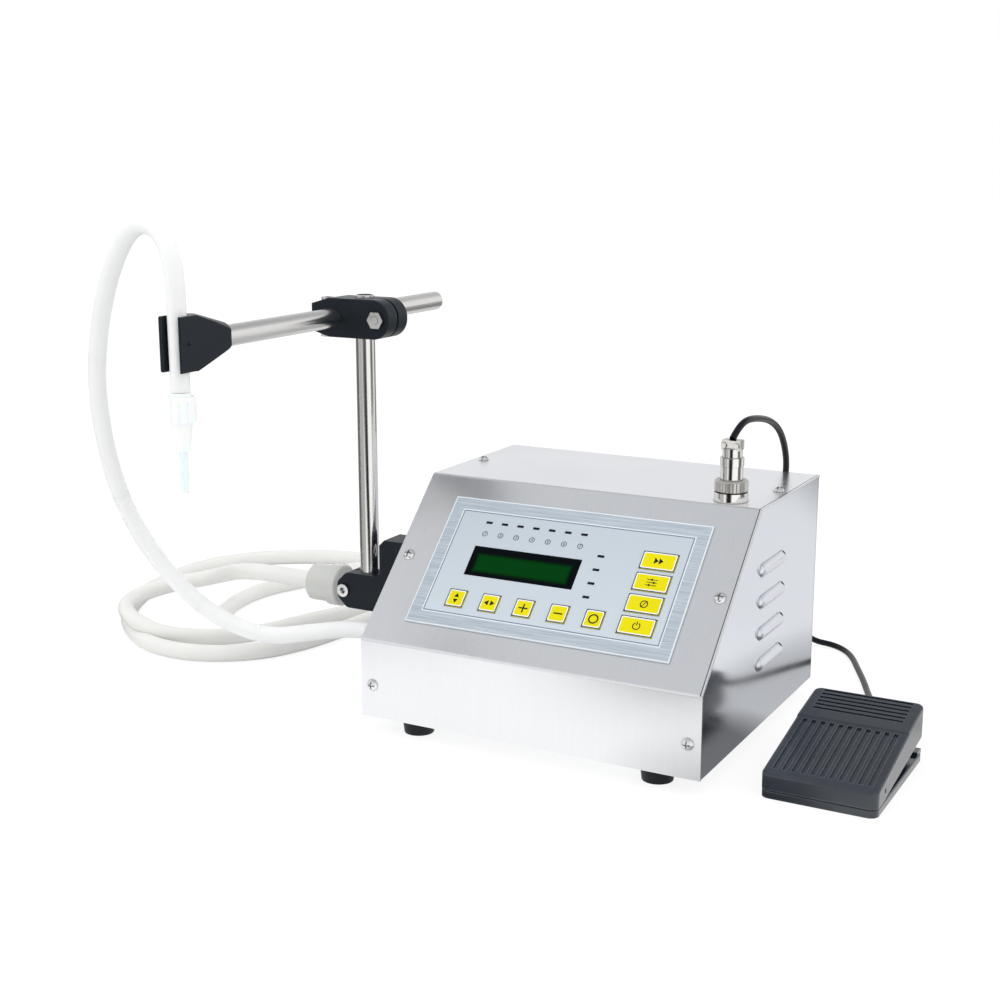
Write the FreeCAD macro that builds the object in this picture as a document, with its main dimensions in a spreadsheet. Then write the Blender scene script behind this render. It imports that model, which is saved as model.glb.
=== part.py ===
import FreeCAD, Part
import math
import os

import Sketcher

from FreeCAD import Placement, Rotation, Vector

"""Desktop liquid filling machine: sheet steel cabinet with a sloping keypad, gear pump, stand
with a hose arm, suction and outlet hoses, and a foot pedal on its own cable.

Every piece is drawn in the cabinet's frame: X runs across the front (0 in the middle), Y goes
from the front face to the back, Z goes up from the cabinet's underside. Each finished piece is
then moved by the same offset, so that the whole machine stands on Z = 0 about the origin.
"""

# Driving dimensions in millimetres and degrees, by assembly
SIZES = {
    # where the cabinet's frame lies in the machine's frame
    "cabinet_x": 0.8, "cabinet_y": -48.0, "foot_height": 10.0,
    # cabinet
    "width": 225.0, "depth": 201.5, "height": 138.0, "front_height": 50.0, "slope_run": 90.0,
    "sheet": 1.2, "bend_radius": 1.6, "flange": 15.0, "panel_inset": 0.4, "edge_gap": 0.3,
    "rest_gap": 0.1,
    "foot_radius": 10.5, "foot_taper": 1.2, "foot_inset_x": 32.0, "foot_inset_y": 15.5,
    "foot_bore": 4.0, "foot_recess": 6.0,
    # pan head screws of the cabinet
    "screw_inset": 8.0, "screw_height": 20.9, "screw_top_y": 143.0, "head_radius": 3.7,
    "head_height": 2.5, "shank_radius": 1.9, "shank_length": 7.0, "screw_clearance": 0.2,
    "slot_width": 0.9, "slot_depth": 1.0,
    # louvres of the right panel
    "louvre_y": 112.3, "louvre_length": 43.4, "louvre_height": 8.6, "louvre_out": 2.8,
    "louvre_low": 40.2, "louvre_pitch": 19.8, "louvre_count": 4, "louvre_slit": 1.8,
    # keypad on the slope, distances along the slope from its lower edge
    "overlay_width": 175.0, "overlay_height": 93.0, "overlay_low": 16.6, "overlay_thick": 1.0,
    "key_gap": 0.25, "key_rise": 0.5, "key_float": 0.6, "key_travel": 0.5,
    "small_key": 12.2, "small_key_first": -59.0, "small_key_pitch": 23.2, "small_key_s": 36.8,
    "wide_key": 22.4, "wide_key_x": 61.3, "wide_key_s": 36.4, "wide_key_pitch": 14.85,
    "lcd_width": 73.6, "lcd_height": 20.9, "lcd_x": -23.9, "lcd_s": 64.7, "lcd_sink": 0.25,
    "lcd_depth": 6.0, "lcd_board_width": 80.0, "lcd_board_height": 36.0, "board_thick": 1.6,
    "led_width": 4.2, "led_height": 1.5, "led_row_s": 92.9, "led_row_x": -57.6,
    "led_row_pitch": 11.0, "status_x": 24.0, "status_s": 50.6, "status_pitch": 9.6,
    "board_drop": 14.0, "board_width": 168.0, "board_height": 78.0, "standoff_radius": 2.8,
    "standoff_inset": 5.0, "plunger_radius": 1.5, "tact_size": 6.0, "tact_height": 4.0,
    # back panel fittings
    "inlet_x": 62.0, "inlet_z": 38.0, "inlet_wide": 27.4, "inlet_tall": 31.0,
    "inlet_flange": 3.2, "inlet_lip": 2.4, "inlet_depth": 22.0,
    "rocker_x": 62.0, "rocker_z": 78.0, "rocker_wide": 13.0, "rocker_tall": 19.2,
    "rocker_flange": 2.0, "rocker_depth": 16.0, "rocker_tilt": 9.0, "rocker_gap": 0.3,
    "rocker_proud": 3.4,
    # stand bracket on the left panel
    "bracket_y": 50.0, "bracket_deep": 19.4, "bracket_thick": 17.8, "bracket_low": 50.2,
    "bracket_top": 99.4, "bracket_chamfer": 3.8, "lug_height": 24.0, "lug_reach": 51.5,
    "lug_split": 1.8, "clamp_screw_x": 14.3, "clamp_head": 4.25, "clamp_shank": 2.4,
    "clamp_head_height": 5.0, "hex_key": 2.0, "panel_bolt_low": 60.0, "panel_bolt_pitch": 28.0,
    # rods, cross clamp and hose holder
    "rod_radius": 6.25, "rod_x": -144.0, "slide_fit": 0.05, "rod_wall": 1.5,
    "rod_proud": 2.0, "rod_stop": 4.0,
    "arm_x": -160.5, "arm_z": 241.0, "arm_front": -90.0, "arm_back": 174.5,
    "clamp_height": 24.8, "clamp_deep": 23.4, "clamp_right": 24.7, "clamp_left": 16.0,
    "ear_half": 8.6, "ear_run": 13.0, "ear_head_height": 3.0, "nut_across": 10.0, "nut_thick": 4.6,
    "rod_bolt_x": 16.2, "arm_bolt_x": 11.4,
    "holder_front": -108.5, "holder_deep": 13.7, "holder_width": 15.8, "holder_height": 31.0,
    "holder_taper": 30.3, "holder_step": 0.4, "boss_radius": 8.8, "holder_lip": 0.7,
    "hose_gap": 0.3, "set_screw": 1.2,
    # hoses and their fittings
    "outlet_radius": 5.5, "suction_radius": 6.0, "barb_radius": 3.9, "barb_bore": 2.6,
    "outlet_y": 38.0, "outlet_z": 42.0, "hex_across": 17.0, "hex_thick": 6.0,
    "fitting_reach": 16.0, "suction_y": 86.0, "suction_z": 53.0, "strainer_x": -208.0,
    "strainer_length": 26.0, "strainer_radius": 12.6, "collar_radius": 14.2,
    "collar_length": 9.0, "stub_length": 12.0,
    "nozzle_top": 214.0, "nozzle_radius": 8.6, "nozzle_body": 17.0, "nozzle_cone": 16.0,
    "spout_radius": 2.6, "spout_length": 24.0, "spout_bore": 1.6,
    # connector of the pedal's cable
    "plug_inset_x": 24.7, "plug_y": 103.7, "socket_radius": 10.3, "socket_height": 5.6,
    "socket_thread": 7.9, "ring_radius": 10.1, "ring_height": 7.4, "barrel_radius": 6.8,
    "barrel_height": 21.0, "barrel_collar": 7.2, "collar_height": 5.0, "neck_radius": 6.0,
    "neck_height": 4.6, "saddle_width": 11.6, "saddle_height": 6.0, "cable_radius": 2.1,
    "knurl_count": 28, "knurl_depth": 0.45,
    # coil of the pedal's cable behind the cabinet, angles from the X axis
    "coil_x": 46.0, "coil_y": 286.0, "coil_radius": 27.4, "coil_enter": 180.0,
    "coil_leave": 73.0, "coil_rounds": 4, "coil_lead": 20.0,
    # foot pedal
    "pedal_x": 174.3, "pedal_y": 18.2, "pedal_width": 66.6, "pedal_length": 100.5,
    "pedal_base": 4.6, "pedal_corner": 5.4, "pedal_front": 9.8, "pedal_rear": 34.5,
    "plateau": 36.0, "plateau_drop": 5.8, "step_drop": 1.3, "step_run": 2.0,
    "treadle_wall": 2.4, "treadle_gap": 0.35,
    "skirt_rear": 9.4, "hinge_y": 17.0, "hinge_z": 10.6, "hinge_pin": 1.5,
    "rib_count": 11, "rib_pitch": 5.4, "rib_groove": 2.8, "rib_front": 7.0, "rib_back": 0.8,
    "groove_depth": 1.1,
    "bar_count": 6, "bar_pitch": 4.5, "bar_groove": 2.2, "bar_front": 9.4, "bar_width": 54.0,
    "pedal_press": 4.0,
    "ear_thick": 3.0, "wall_thick": 3.2, "spring_radius": 4.2, "spring_wire": 0.5, "spring_turns": 5,
    "switch_width": 20.0, "switch_deep": 7.0, "switch_height": 9.0,
    "relief_length": 16.0, "relief_radius": 4.6, "relief_tip": 3.4, "relief_neck": 3.4, "entry_z": 10.5,
    # pump, motor and power supply inside
    "pump_x": -58.0, "pump_y": 112.0, "pump_z": 44.0, "gear_teeth": 10, "gear_module": 1.6,
    "gear_width": 12.0, "gear_clearance": 0.08, "centre_extra": 0.35, "pump_wall": 6.0,
    "plate_thick": 7.0, "shaft_radius": 3.0, "motor_radius": 19.0, "motor_length": 62.0,
    "lantern_length": 20.0, "port_radius": 3.0, "mount_thick": 3.0, "cradle_thick": 3.0,
    "supply_x": 46.0, "supply_y": 112.0, "supply_width": 70.0, "supply_length": 110.0,
    "supply_height": 36.0, "supply_lift": 5.0,
}

# Routes of the cords in the cabinet's frame, chosen by hand, in millimetres
OUTLET_ROUTE = [
    (-119, 38, 42), (-141, 38, 42), (-170, 30, 37), (-199, 19, 32), (-230, 9, 43), (-251, 0, 62),
    (-267, -9, 86), (-279, -18, 114), (-282, -28, 145), (-279, -38, 176), (-271, -49, 206),
    (-258, -59, 236), (-241, -69, 265), (-222, -78, 288.5), (-205, -85, 302), (-188, -91.5, 306),
    (-172, -97, 300.5), (-162.5, -101, 285.5), (-160.5, -102, 262), (-160.5, -102, 214),
]
OUTLET_LENGTHS = {"outlet_hose_lower": 4, "outlet_hose_rise": 7, "outlet_hose_middle": 10,
                  "outlet_hose_arch": 13, "outlet_hose_end": None}
SUCTION_ROUTE = [
    (-208, 86, 53), (-244, 86, 54), (-281, 101, 47), (-316, 130, 34), (-351, 147, 21),
    (-380, 142, 14), (-393, 118, 10.5), (-386, 90, 9.2), (-362, 70, 7.5), (-331, 66, 1), (-300, 89, -3.6),
    (-276, 121, -4), (-264, 162, -4), (-247, 198, -4), (-238, 236, -4), (-243, 276, -4),
    (-266, 310, -4), (-304, 330, -4), (-346, 328, -4), (-389, 308, -4), (-422, 278, -4),
    (-437, 238, -4), (-435, 196, -4), (-424, 152, -4), (-403, 113, -4), (-372, 80, -4),
    (-334, 56, -4), (-292, 54, -4), (-254, 77, -4), (-237, 114, -4), (-230, 154, -3.75),
    (-218, 192, -1), (-216, 230, 7), (-236, 258, 12), (-268, 268, 12), (-304, 266, 4),
    (-334, 246, -3.6), (-348, 212, -4), (-345, 172, -4), (-336, 141, -4), (-334.5, 117, -4),
]
CABLE_ROUTE = [
    (87.8, 103.2, 175.9), (89, 108.8, 181.5), (90.6, 119.5, 185.4), (91.8, 139, 183.4),
    (92.4, 159, 178.8), (92.2, 178, 169.8), (90.8, 193.5, 156.5), (88.4, 206.5, 141),
    (84, 214.5, 120), (77, 218, 95), (67, 219, 69), (54, 220, 45), (41, 222, 23), (30, 227, 6),
    (22.8, 237.5, -4.4), (18.6, 251, -7.35), (18.6, 265.9, -7.9),
]
CABLE_END_ROUTE = [
    (73.24, 306.32, -3.7), (86.05, 302.41, -3.7), (97, 297.5, -6.9), (108, 288.5, -7.9),
    (118, 275.5, -7.85), (128.5, 257, -7.9), (139, 234.5, -7.9), (149, 210, -7.8),
    (160, 184, -6.8), (169.5, 161, -2), (174, 146.5, 0.4), (174.3, 128, 0.5),
]

os.makedirs("parts", exist_ok=True)
DOC = FreeCAD.newDocument("FillingMachine")
SHEET = DOC.addObject("Spreadsheet::Sheet", "Sizes")
for row, (alias, number) in enumerate(SIZES.items(), start=1):
    SHEET.set(f"A{row}", alias)
    SHEET.set(f"B{row}", str(number))
    SHEET.setAlias(f"B{row}", alias)
DOC.recompute()


class Size:
    """A length that knows its number and the sheet formula that it comes from."""

    def __init__(self, value, formula):
        self.value = float(value)
        self.formula = formula

    def _join(self, sign, other, value):
        return Size(value, f"({self.formula} {sign} {as_size(other).formula})")

    def __add__(self, other):
        return self._join("+", other, self.value + float(other))

    def __sub__(self, other):
        return self._join("-", other, self.value - float(other))

    def __mul__(self, other):
        return self._join("*", other, self.value * float(other))

    def __truediv__(self, other):
        return self._join("/", other, self.value / float(other))

    def __radd__(self, other):
        return as_size(other) + self

    def __rsub__(self, other):
        return as_size(other) - self

    def __rmul__(self, other):
        return as_size(other) * self

    def __rtruediv__(self, other):
        return as_size(other) / self

    def __neg__(self):
        return Size(-self.value, f"(0 - {self.formula})")

    def __float__(self):
        return self.value


def as_size(number):
    """Gives a plain number the same form as a named size."""
    if isinstance(number, Size):
        return number
    text = f"{float(number):.6f}"
    return Size(number, text if number >= 0 else f"(0 - {-float(number):.6f})")


def sine(angle):
    return Size(math.sin(math.radians(float(angle))), f"sin({angle.formula})")


def cosine(angle):
    return Size(math.cos(math.radians(float(angle))), f"cos({angle.formula})")


def tangent(angle):
    return Size(math.tan(math.radians(float(angle))), f"tan({angle.formula})")


def angle_of(rise, run):
    """The angle in degrees of a slope with this rise and run."""
    value = math.degrees(math.atan2(float(rise), float(run)))
    return Size(value, f"(atan({(rise / run).formula}) / 1 deg)")


class Named:
    """The driving dimensions by name, as sizes bound to the sheet."""

    def __getattr__(self, name):
        return Size(SIZES[name], f"Sizes.{name}")


S = Named()
SLOPE = angle_of(S.height - S.front_height, S.slope_run)
PLUG_X = S.width / 2 - S.plug_inset_x
COUNT = {name: int(SIZES[name]) for name in SIZES if name.endswith(("count", "turns", "teeth"))}
DONE = []


def bind(thing, prop, size):
    """Binds one property to its formula, or sets it where the size is a bare zero."""
    size = as_size(size)
    if "Sizes." in size.formula:
        thing.setExpression(prop, size.formula)
    else:
        target = thing
        names = prop.split(".")
        if len(names) == 1:
            setattr(target, prop, size.value)


def put(thing, at=(0, 0, 0), axis=None, angle=None):
    """Places a thing at bound coordinates, turned about an axis by a fixed or bound angle."""
    place = Placement(Vector(*[float(v) for v in at]), Rotation())
    if axis is not None:
        place.Rotation = Rotation(Vector(*axis), float(angle))
    thing.Placement = place
    for letter, value in zip("xyz", at):
        if "Sizes." in as_size(value).formula:
            thing.setExpression(f"Placement.Base.{letter}", as_size(value).formula)
    if isinstance(angle, Size):
        thing.setExpression("Placement.Rotation.Angle", angle.formula)
    return thing


def new(kind, name):
    thing = DOC.addObject(kind, name)
    thing.Label = name
    return thing


def box(name, size, at):
    """A block of this size with its lowest corner at this point."""
    thing = new("Part::Box", name)
    for prop, value in zip(("Length", "Width", "Height"), size):
        bind(thing, prop, value)
    return put(thing, at)


TURNS = {"z": None, "x": ((0, 1, 0), 90), "y": ((1, 0, 0), -90), "-x": ((0, 1, 0), -90),
         "-y": ((1, 0, 0), 90), "-z": ((1, 0, 0), 180)}


def rod(name, radius, length, at, axis="z"):
    """A round bar from this point along an axis."""
    thing = new("Part::Cylinder", name)
    bind(thing, "Radius", radius)
    bind(thing, "Height", length)
    turn = TURNS[axis]
    return put(thing, at, *(turn or (None, None)))


def cone(name, radius, end_radius, length, at, axis="z"):
    """A round bar that changes radius evenly along its axis."""
    thing = new("Part::Cone", name)
    bind(thing, "Radius1", radius)
    bind(thing, "Radius2", end_radius)
    bind(thing, "Height", length)
    turn = TURNS[axis]
    return put(thing, at, *(turn or (None, None)))


def prism(name, sides, circumradius, length, at, axis="z"):
    """A regular prism, such as a nut or a hexagon head."""
    thing = new("Part::Prism", name)
    thing.Polygon = sides
    bind(thing, "Circumradius", circumradius)
    bind(thing, "Height", length)
    turn = TURNS[axis]
    return put(thing, at, *(turn or (None, None)))


def fuse(name, pieces):
    thing = new("Part::MultiFuse", name)
    thing.Shapes = pieces
    return thing


def cut(name, base, tools):
    """Takes one or more tools away from a base."""
    thing = new("Part::Cut", name)
    thing.Base = base
    thing.Tool = tools[0] if len(tools) == 1 else fuse(name + "_tools", tools)
    return thing


def group(name, pieces):
    """Several separate solids that make one sub-part."""
    thing = new("Part::Compound", name)
    thing.Links = pieces
    return thing


def feature(name, shape):
    """A sub-part whose shape is worked out here from the same sizes."""
    thing = new("Part::Feature", name)
    thing.Shape = Part.makeCompound(shape.Solids)
    return thing


def whole(thing, label):
    """Names a finished sub-part, and wraps a bare block or bar so that it keeps its place."""
    label = label or thing.Name
    if thing.TypeId in ("Part::Box", "Part::Cylinder"):
        thing.Label = label + "_solid"
        thing = new("Part::Compound", label + "_part")
        thing.Links = [DOC.getObject(label)]
    thing.Label = label
    DONE.append(thing)
    return thing


def finish(thing, label=None):
    """Moves a finished sub-part from the cabinet's frame to the machine's frame."""
    thing = whole(thing, label)
    return put(thing, (S.cabinet_x, S.cabinet_y, S.foot_height))


def finish_on_slope(thing, label=None):
    """Moves a sub-part drawn flat (x, along the slope, outwards) onto the sloping face."""
    thing = whole(thing, label)
    return put(thing, (S.cabinet_x, S.cabinet_y, S.foot_height + S.front_height), (1, 0, 0),
               SLOPE)


def slope_tool(thing):
    """Places a cutting tool drawn flat onto the slope, still in the cabinet's frame."""
    return put(thing, (0, 0, S.front_height), (1, 0, 0), SLOPE)


class Draft:
    """A PartDesign body with the few features that the pieces need."""

    PLANES = {"xy": "XY_Plane", "xz": "XZ_Plane", "yz": "YZ_Plane"}
    OUTWARD = {"xy": 1, "xz": -1, "yz": 1}

    def __init__(self, name):
        self.body = new("PartDesign::Body", name)
        self.number = 0

    def sketch(self, plane, offset=0):
        """A sketch on an origin plane, moved along the machine's axis by an offset."""
        self.number += 1
        drawing = self.body.newObject("Sketcher::SketchObject", f"{self.body.Name}_s{self.number}")
        role = self.PLANES[plane]
        origin = [f for f in self.body.Origin.OriginFeatures if f.Role == role][0]
        drawing.AttachmentSupport = [(origin, "")]
        drawing.MapMode = "FlatFace"
        shift = as_size(offset) * self.OUTWARD[plane]
        drawing.AttachmentOffset = Placement(Vector(0, 0, float(shift)), Rotation())
        if "Sizes." in shift.formula:
            drawing.setExpression("AttachmentOffset.Base.z", shift.formula)
        return drawing

    @staticmethod
    def polygon(drawing, points):
        """A closed outline through points whose coordinates are bound sizes."""
        first = drawing.GeometryCount
        count = len(points)
        corners = [Vector(float(a), float(b), 0) for a, b in points]
        for i in range(count):
            drawing.addGeometry(Part.LineSegment(corners[i], corners[(i + 1) % count]), False)
        for i in range(count):
            drawing.addConstraint(
                Sketcher.Constraint("Coincident", first + i, 2, first + (i + 1) % count, 1))
        for i, pair in enumerate(points):
            for kind, value in zip(("DistanceX", "DistanceY"), pair):
                value = as_size(value)
                index = drawing.addConstraint(
                    Sketcher.Constraint(kind, -1, 1, first + i, 1, value.value))
                if "Sizes." in value.formula:
                    drawing.setExpression(f"Constraints[{index}]", value.formula)

    @staticmethod
    def circle(drawing, centre, radius):
        """A circle with bound centre and radius."""
        at = Vector(float(centre[0]), float(centre[1]), 0)
        index = drawing.addGeometry(Part.Circle(at, Vector(0, 0, 1), float(radius)), False)
        rules = [("DistanceX", centre[0]), ("DistanceY", centre[1])]
        for kind, value in rules:
            value = as_size(value)
            rule = drawing.addConstraint(Sketcher.Constraint(kind, -1, 1, index, 3, value.value))
            if "Sizes." in value.formula:
                drawing.setExpression(f"Constraints[{rule}]", value.formula)
        rule = drawing.addConstraint(Sketcher.Constraint("Radius", index, float(radius)))
        drawing.setExpression(f"Constraints[{rule}]", as_size(radius).formula)

    def _feature(self, kind, drawing, length=None, middle=False, reverse=False):
        self.number += 1
        made = self.body.newObject(f"PartDesign::{kind}", f"{self.body.Name}_f{self.number}")
        made.Profile = drawing
        if length is not None:
            bind(made, "Length", length)
        made.Midplane = middle
        made.Reversed = reverse
        return made

    def pad(self, plane, start, length, outline, middle=False):
        """A solid drawn as an outline and padded along the machine's axis."""
        drawing = self.sketch(plane, start)
        self.outline(drawing, outline)
        return self._feature("Pad", drawing, length, middle, self.OUTWARD[plane] < 0)

    def pocket(self, plane, start, length, outline, middle=False):
        """A cut from an offset plane along the machine's axis, checked by volume."""
        DOC.recompute()
        before = self.body.Shape.Volume
        drawing = self.sketch(plane, start)
        self.outline(drawing, outline)
        made = self._feature("Pocket", drawing, length, middle, self.OUTWARD[plane] > 0)
        DOC.recompute()
        if self.body.Shape.Volume >= before - 1e-6:
            raise RuntimeError(f"{made.Name} cuts nothing")
        return made

    def outline(self, drawing, shapes):
        """Draws polygons (lists of points) and circles (centre, radius)."""
        for shape in shapes:
            if isinstance(shape, list):
                self.polygon(drawing, shape)
            else:
                self.circle(drawing, *shape)

    def revolve(self, plane, points, axis="V_Axis"):
        """A solid turned about the sketch's own upright or level axis."""
        drawing = self.sketch(plane)
        self.polygon(drawing, points)
        made = self._feature("Revolution", drawing)
        made.ReferenceAxis = (drawing, [axis])
        made.Angle = 360.0
        return made

    def round(self, radius, test, kind="Fillet"):
        """Rounds or bevels the edges that pass a test on their shape."""
        DOC.recompute()
        base = self.body.Tip
        names = [f"Edge{i}" for i, edge in enumerate(base.Shape.Edges, start=1) if test(edge)]
        if not names:
            raise RuntimeError(f"{self.body.Name}: no edge to round")
        self.number += 1
        made = self.body.newObject(f"PartDesign::{kind}", f"{self.body.Name}_r{self.number}")
        made.Base = (base, names)
        bind(made, "Radius" if kind == "Fillet" else "Size", radius)
        return made

    def repeat(self, last, plane_axis, count, pitch):
        """Repeats the last feature along one of the sketch's axes."""
        DOC.recompute()
        self.number += 1
        made = self.body.newObject("PartDesign::LinearPattern", f"{self.body.Name}_p{self.number}")
        made.Originals = [last]
        made.Direction = (last.Profile[0], [plane_axis])
        bind(made, "Length", pitch * (count - 1))
        made.Occurrences = count
        self.body.Tip = made
        DOC.recompute()
        return made


def along(edge, axis):
    """Whether a straight edge runs along an axis (0, 1 or 2)."""
    if not isinstance(edge.Curve, Part.Line):
        return False
    direction = edge.Vertexes[-1].Point - edge.Vertexes[0].Point
    return abs(abs(direction[axis]) - direction.Length) < 1e-4


def near(edge, axis, value, slack=0.2):
    """Whether the middle of an edge lies at this coordinate."""
    return abs(edge.CenterOfMass[axis] - float(value)) < slack


# Cabinet

def cabinet_outline(inset, low, back):
    """The side view of the cabinet, a constant distance inside its outer faces."""
    half_front = (90 - SLOPE) / 2
    return [
        (inset, low),
        (inset, S.front_height - inset * tangent(half_front)),
        (S.slope_run + inset * tangent(SLOPE / 2), S.height - inset),
        (back, S.height - inset),
        (back, low),
    ]


def screw_places():
    """The cover's six screws: side of the cabinet, then the place on front, slope and top."""
    slope_length = S.slope_run / cosine(SLOPE)
    places = []
    for side in (-1, 1):
        x = side * (S.width / 2 - S.screw_inset)
        places.append(("front", x, slope_length))
        places.append(("slope", x, slope_length))
        places.append(("top", x, slope_length))
    return places


def screw_tool(name, face, x, slope_length, radius, length, start):
    """A round bar along a cover screw's axis, from a height over the sheet inwards."""
    if face == "front":
        return rod(name, radius, length, (x, -start, S.screw_height), "y")
    if face == "top":
        return rod(name, radius, length, (x, S.screw_top_y, S.height + start), "-z")
    bar = rod(name, radius, length, (x, slope_length / 2, start), "-z")
    holder = group(name + "_on_slope", [bar])
    return slope_tool(holder)


def make_cover():
    """The bent sheet that is front, slope and top in one."""
    draft = Draft("cover_sheet")
    outer = cabinet_outline(as_size(0), as_size(0), S.depth)
    inner = cabinet_outline(S.sheet, as_size(0), S.depth)
    points = outer[:4] + [inner[3], inner[2], inner[1], inner[0]]
    draft.pad("yz", 0, S.width, [points], middle=True)
    for corner, radius in ((outer[1], S.bend_radius + S.sheet), (outer[2], S.bend_radius + S.sheet),
                           (inner[1], S.bend_radius), (inner[2], S.bend_radius)):
        draft.round(radius, lambda e, c=corner: along(e, 0) and near(e, 1, c[0])
                    and near(e, 2, c[1]))
    tools = []
    for i, (face, x, length) in enumerate(screw_places()):
        tools.append(screw_tool(f"cover_hole_{i}", face, x, length,
                                S.shank_radius + S.screw_clearance, S.sheet * 6, S.sheet * 3))
    tools.append(rod("socket_hole", S.socket_thread + S.screw_clearance, S.sheet * 4,
                     (PLUG_X, S.plug_y, S.height - S.sheet * 2)))
    window = box("display_window", (S.lcd_width + 2 * S.key_gap, S.lcd_height + 2 * S.key_gap,
                                    S.sheet * 4),
                 (S.lcd_x - S.lcd_width / 2 - S.key_gap, S.lcd_s - S.lcd_height / 2 - S.key_gap,
                  -S.sheet * 2))
    tools.append(slope_tool(group("display_window_on_slope", [window])))
    holes = [rod(f"plunger_hole_{i}", S.plunger_radius + S.key_gap, S.sheet * 4,
                 (x, s, -S.sheet * 2)) for i, (name, x, s, w) in enumerate(key_places())]
    tools.append(slope_tool(group("plunger_holes_on_slope", holes)))
    finish(cut("cover", draft.body, tools))


def side_panel(name, side):
    """A side sheet with flanges all round that carry the cover, base and back sheets."""
    draft = Draft(name + "_sheet")
    gap = S.sheet + S.edge_gap
    rim = cabinet_outline(gap, S.sheet, S.depth - gap)
    well = cabinet_outline(gap + S.sheet, 2 * S.sheet, S.depth - gap - S.sheet)
    face = S.width / 2 - S.panel_inset
    if side > 0:
        draft.pad("yz", face - S.flange, S.flange, [rim])
        draft.pocket("yz", face - S.flange, S.flange - S.sheet, [well])
    else:
        draft.pad("yz", -face, S.flange, [rim])
        draft.pocket("yz", -face + S.sheet, S.flange - S.sheet, [well])
    return draft


def flange_holes(name, side):
    """Thread holes for the cover's screws in a side panel's flanges."""
    tools = []
    for i, (face, x, length) in enumerate(screw_places()):
        if float(x) * side > 0:
            tools.append(screw_tool(f"{name}_hole_{i}", face, x, length, S.shank_radius,
                                    S.sheet * 6, S.sheet * 3))
    return tools


def louvre_hood(z, radius, axis_x):
    """A round-ended bulge whose axis lies behind the panel's face."""
    y = float(S.louvre_y)
    half = float(S.louvre_length - S.louvre_height) / 2
    ends = [Vector(axis_x, y + side * half, z) for side in (-1, 1)]
    bar = Part.makeCylinder(radius, 2 * half, ends[0], Vector(0, 1, 0))
    return bar.multiFuse([Part.makeSphere(radius, end) for end in ends])


def make_side_panels():
    """Left panel with the hose fittings' holes, right panel with louvres."""
    left = side_panel("side_panel_left", -1)
    tools = flange_holes("left", -1)
    for i in range(2):
        tools.append(rod(f"bracket_bolt_hole_{i}", S.clamp_shank + S.screw_clearance, 20,
                         (-S.width / 2 - 5, S.bracket_y + S.bracket_deep / 2,
                          S.panel_bolt_low + i * S.panel_bolt_pitch), "x"))
    for i, (y, z) in enumerate(((S.outlet_y, S.outlet_z), (S.suction_y, S.suction_z))):
        tools.append(rod(f"port_hole_{i}", S.barb_radius + 1.1 + S.screw_clearance, 20,
                         (-S.width / 2 - 5, y, z), "x"))
    finish(cut("side_panel_left", left.body, tools))
    right = side_panel("side_panel_right", 1)
    DOC.recompute()
    face = float(S.width / 2 - S.panel_inset)
    sheet = float(S.sheet)
    half_tall, out = float(S.louvre_height) / 2, float(S.louvre_out)
    radius = (half_tall ** 2 + out ** 2) / (2 * out)
    axis_x = face + out - radius
    outside = Part.makeBox(out * 2, float(S.depth), float(S.height),
                           Vector(face - sheet / 2, 0, 0))
    hoods, hollows, slits = [], [], []
    for i in range(COUNT["louvre_count"]):
        z = float(S.louvre_low) + i * float(S.louvre_pitch)
        hoods.append(louvre_hood(z, radius, axis_x).common(outside))
        hollows.append(louvre_hood(z, radius - sheet * 0.8, axis_x))
        slits.append(Part.makeBox(out * 2, float(S.louvre_length - S.louvre_height),
                                  float(S.louvre_slit) + 1,
                                  Vector(face + 0.2, float(S.louvre_y) - float(
                                      S.louvre_length - S.louvre_height) / 2,
                                         z - half_tall - 1)))
    add = feature("louvre_hoods", Part.makeCompound(hoods))
    take = feature("louvre_hollows", Part.makeCompound(hollows))
    open_up = feature("louvre_slits", Part.makeCompound(slits))
    pressed = fuse("right_pressed", [right.body, add])
    finish(cut("side_panel_right", pressed, [take, open_up] + flange_holes("right", 1)))


def make_base_and_back():
    """The base sheet and the back sheet, both inside the cover's edges."""
    inset = S.panel_inset
    base = box("base_sheet", (S.width - 2 * inset, S.depth - 2 * (S.sheet + S.edge_gap),
                              S.sheet), (inset - S.width / 2, S.sheet + S.edge_gap, 0))
    holes = [rod(f"foot_hole_{i}", S.shank_radius, S.sheet * 3, (x, y, -S.sheet))
             for i, (x, y) in enumerate(foot_places())]
    finish(cut("base_plate", base, holes))
    back = box("back_sheet", (S.width - 2 * inset, S.sheet, S.height - S.sheet - S.edge_gap),
               (inset - S.width / 2, S.depth - S.sheet, 0))
    openings = [
        box("power_inlet_hole", (S.inlet_wide, S.sheet * 3, S.inlet_tall),
            (S.inlet_x - S.inlet_wide / 2, S.depth - 2 * S.sheet, S.inlet_z - S.inlet_tall / 2)),
        box("rocker_hole", (S.rocker_wide, S.sheet * 3, S.rocker_tall),
            (S.rocker_x - S.rocker_wide / 2, S.depth - 2 * S.sheet,
             S.rocker_z - S.rocker_tall / 2)),
    ]
    finish(cut("back_panel", back, openings))


def foot_places():
    """The middle of each foot, front pair first."""
    xs = (S.foot_inset_x - S.width / 2, S.width / 2 - S.foot_inset_x)
    ys = (S.foot_inset_y, S.depth - S.foot_inset_y)
    return [(x, y) for y in ys for x in xs]


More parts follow.
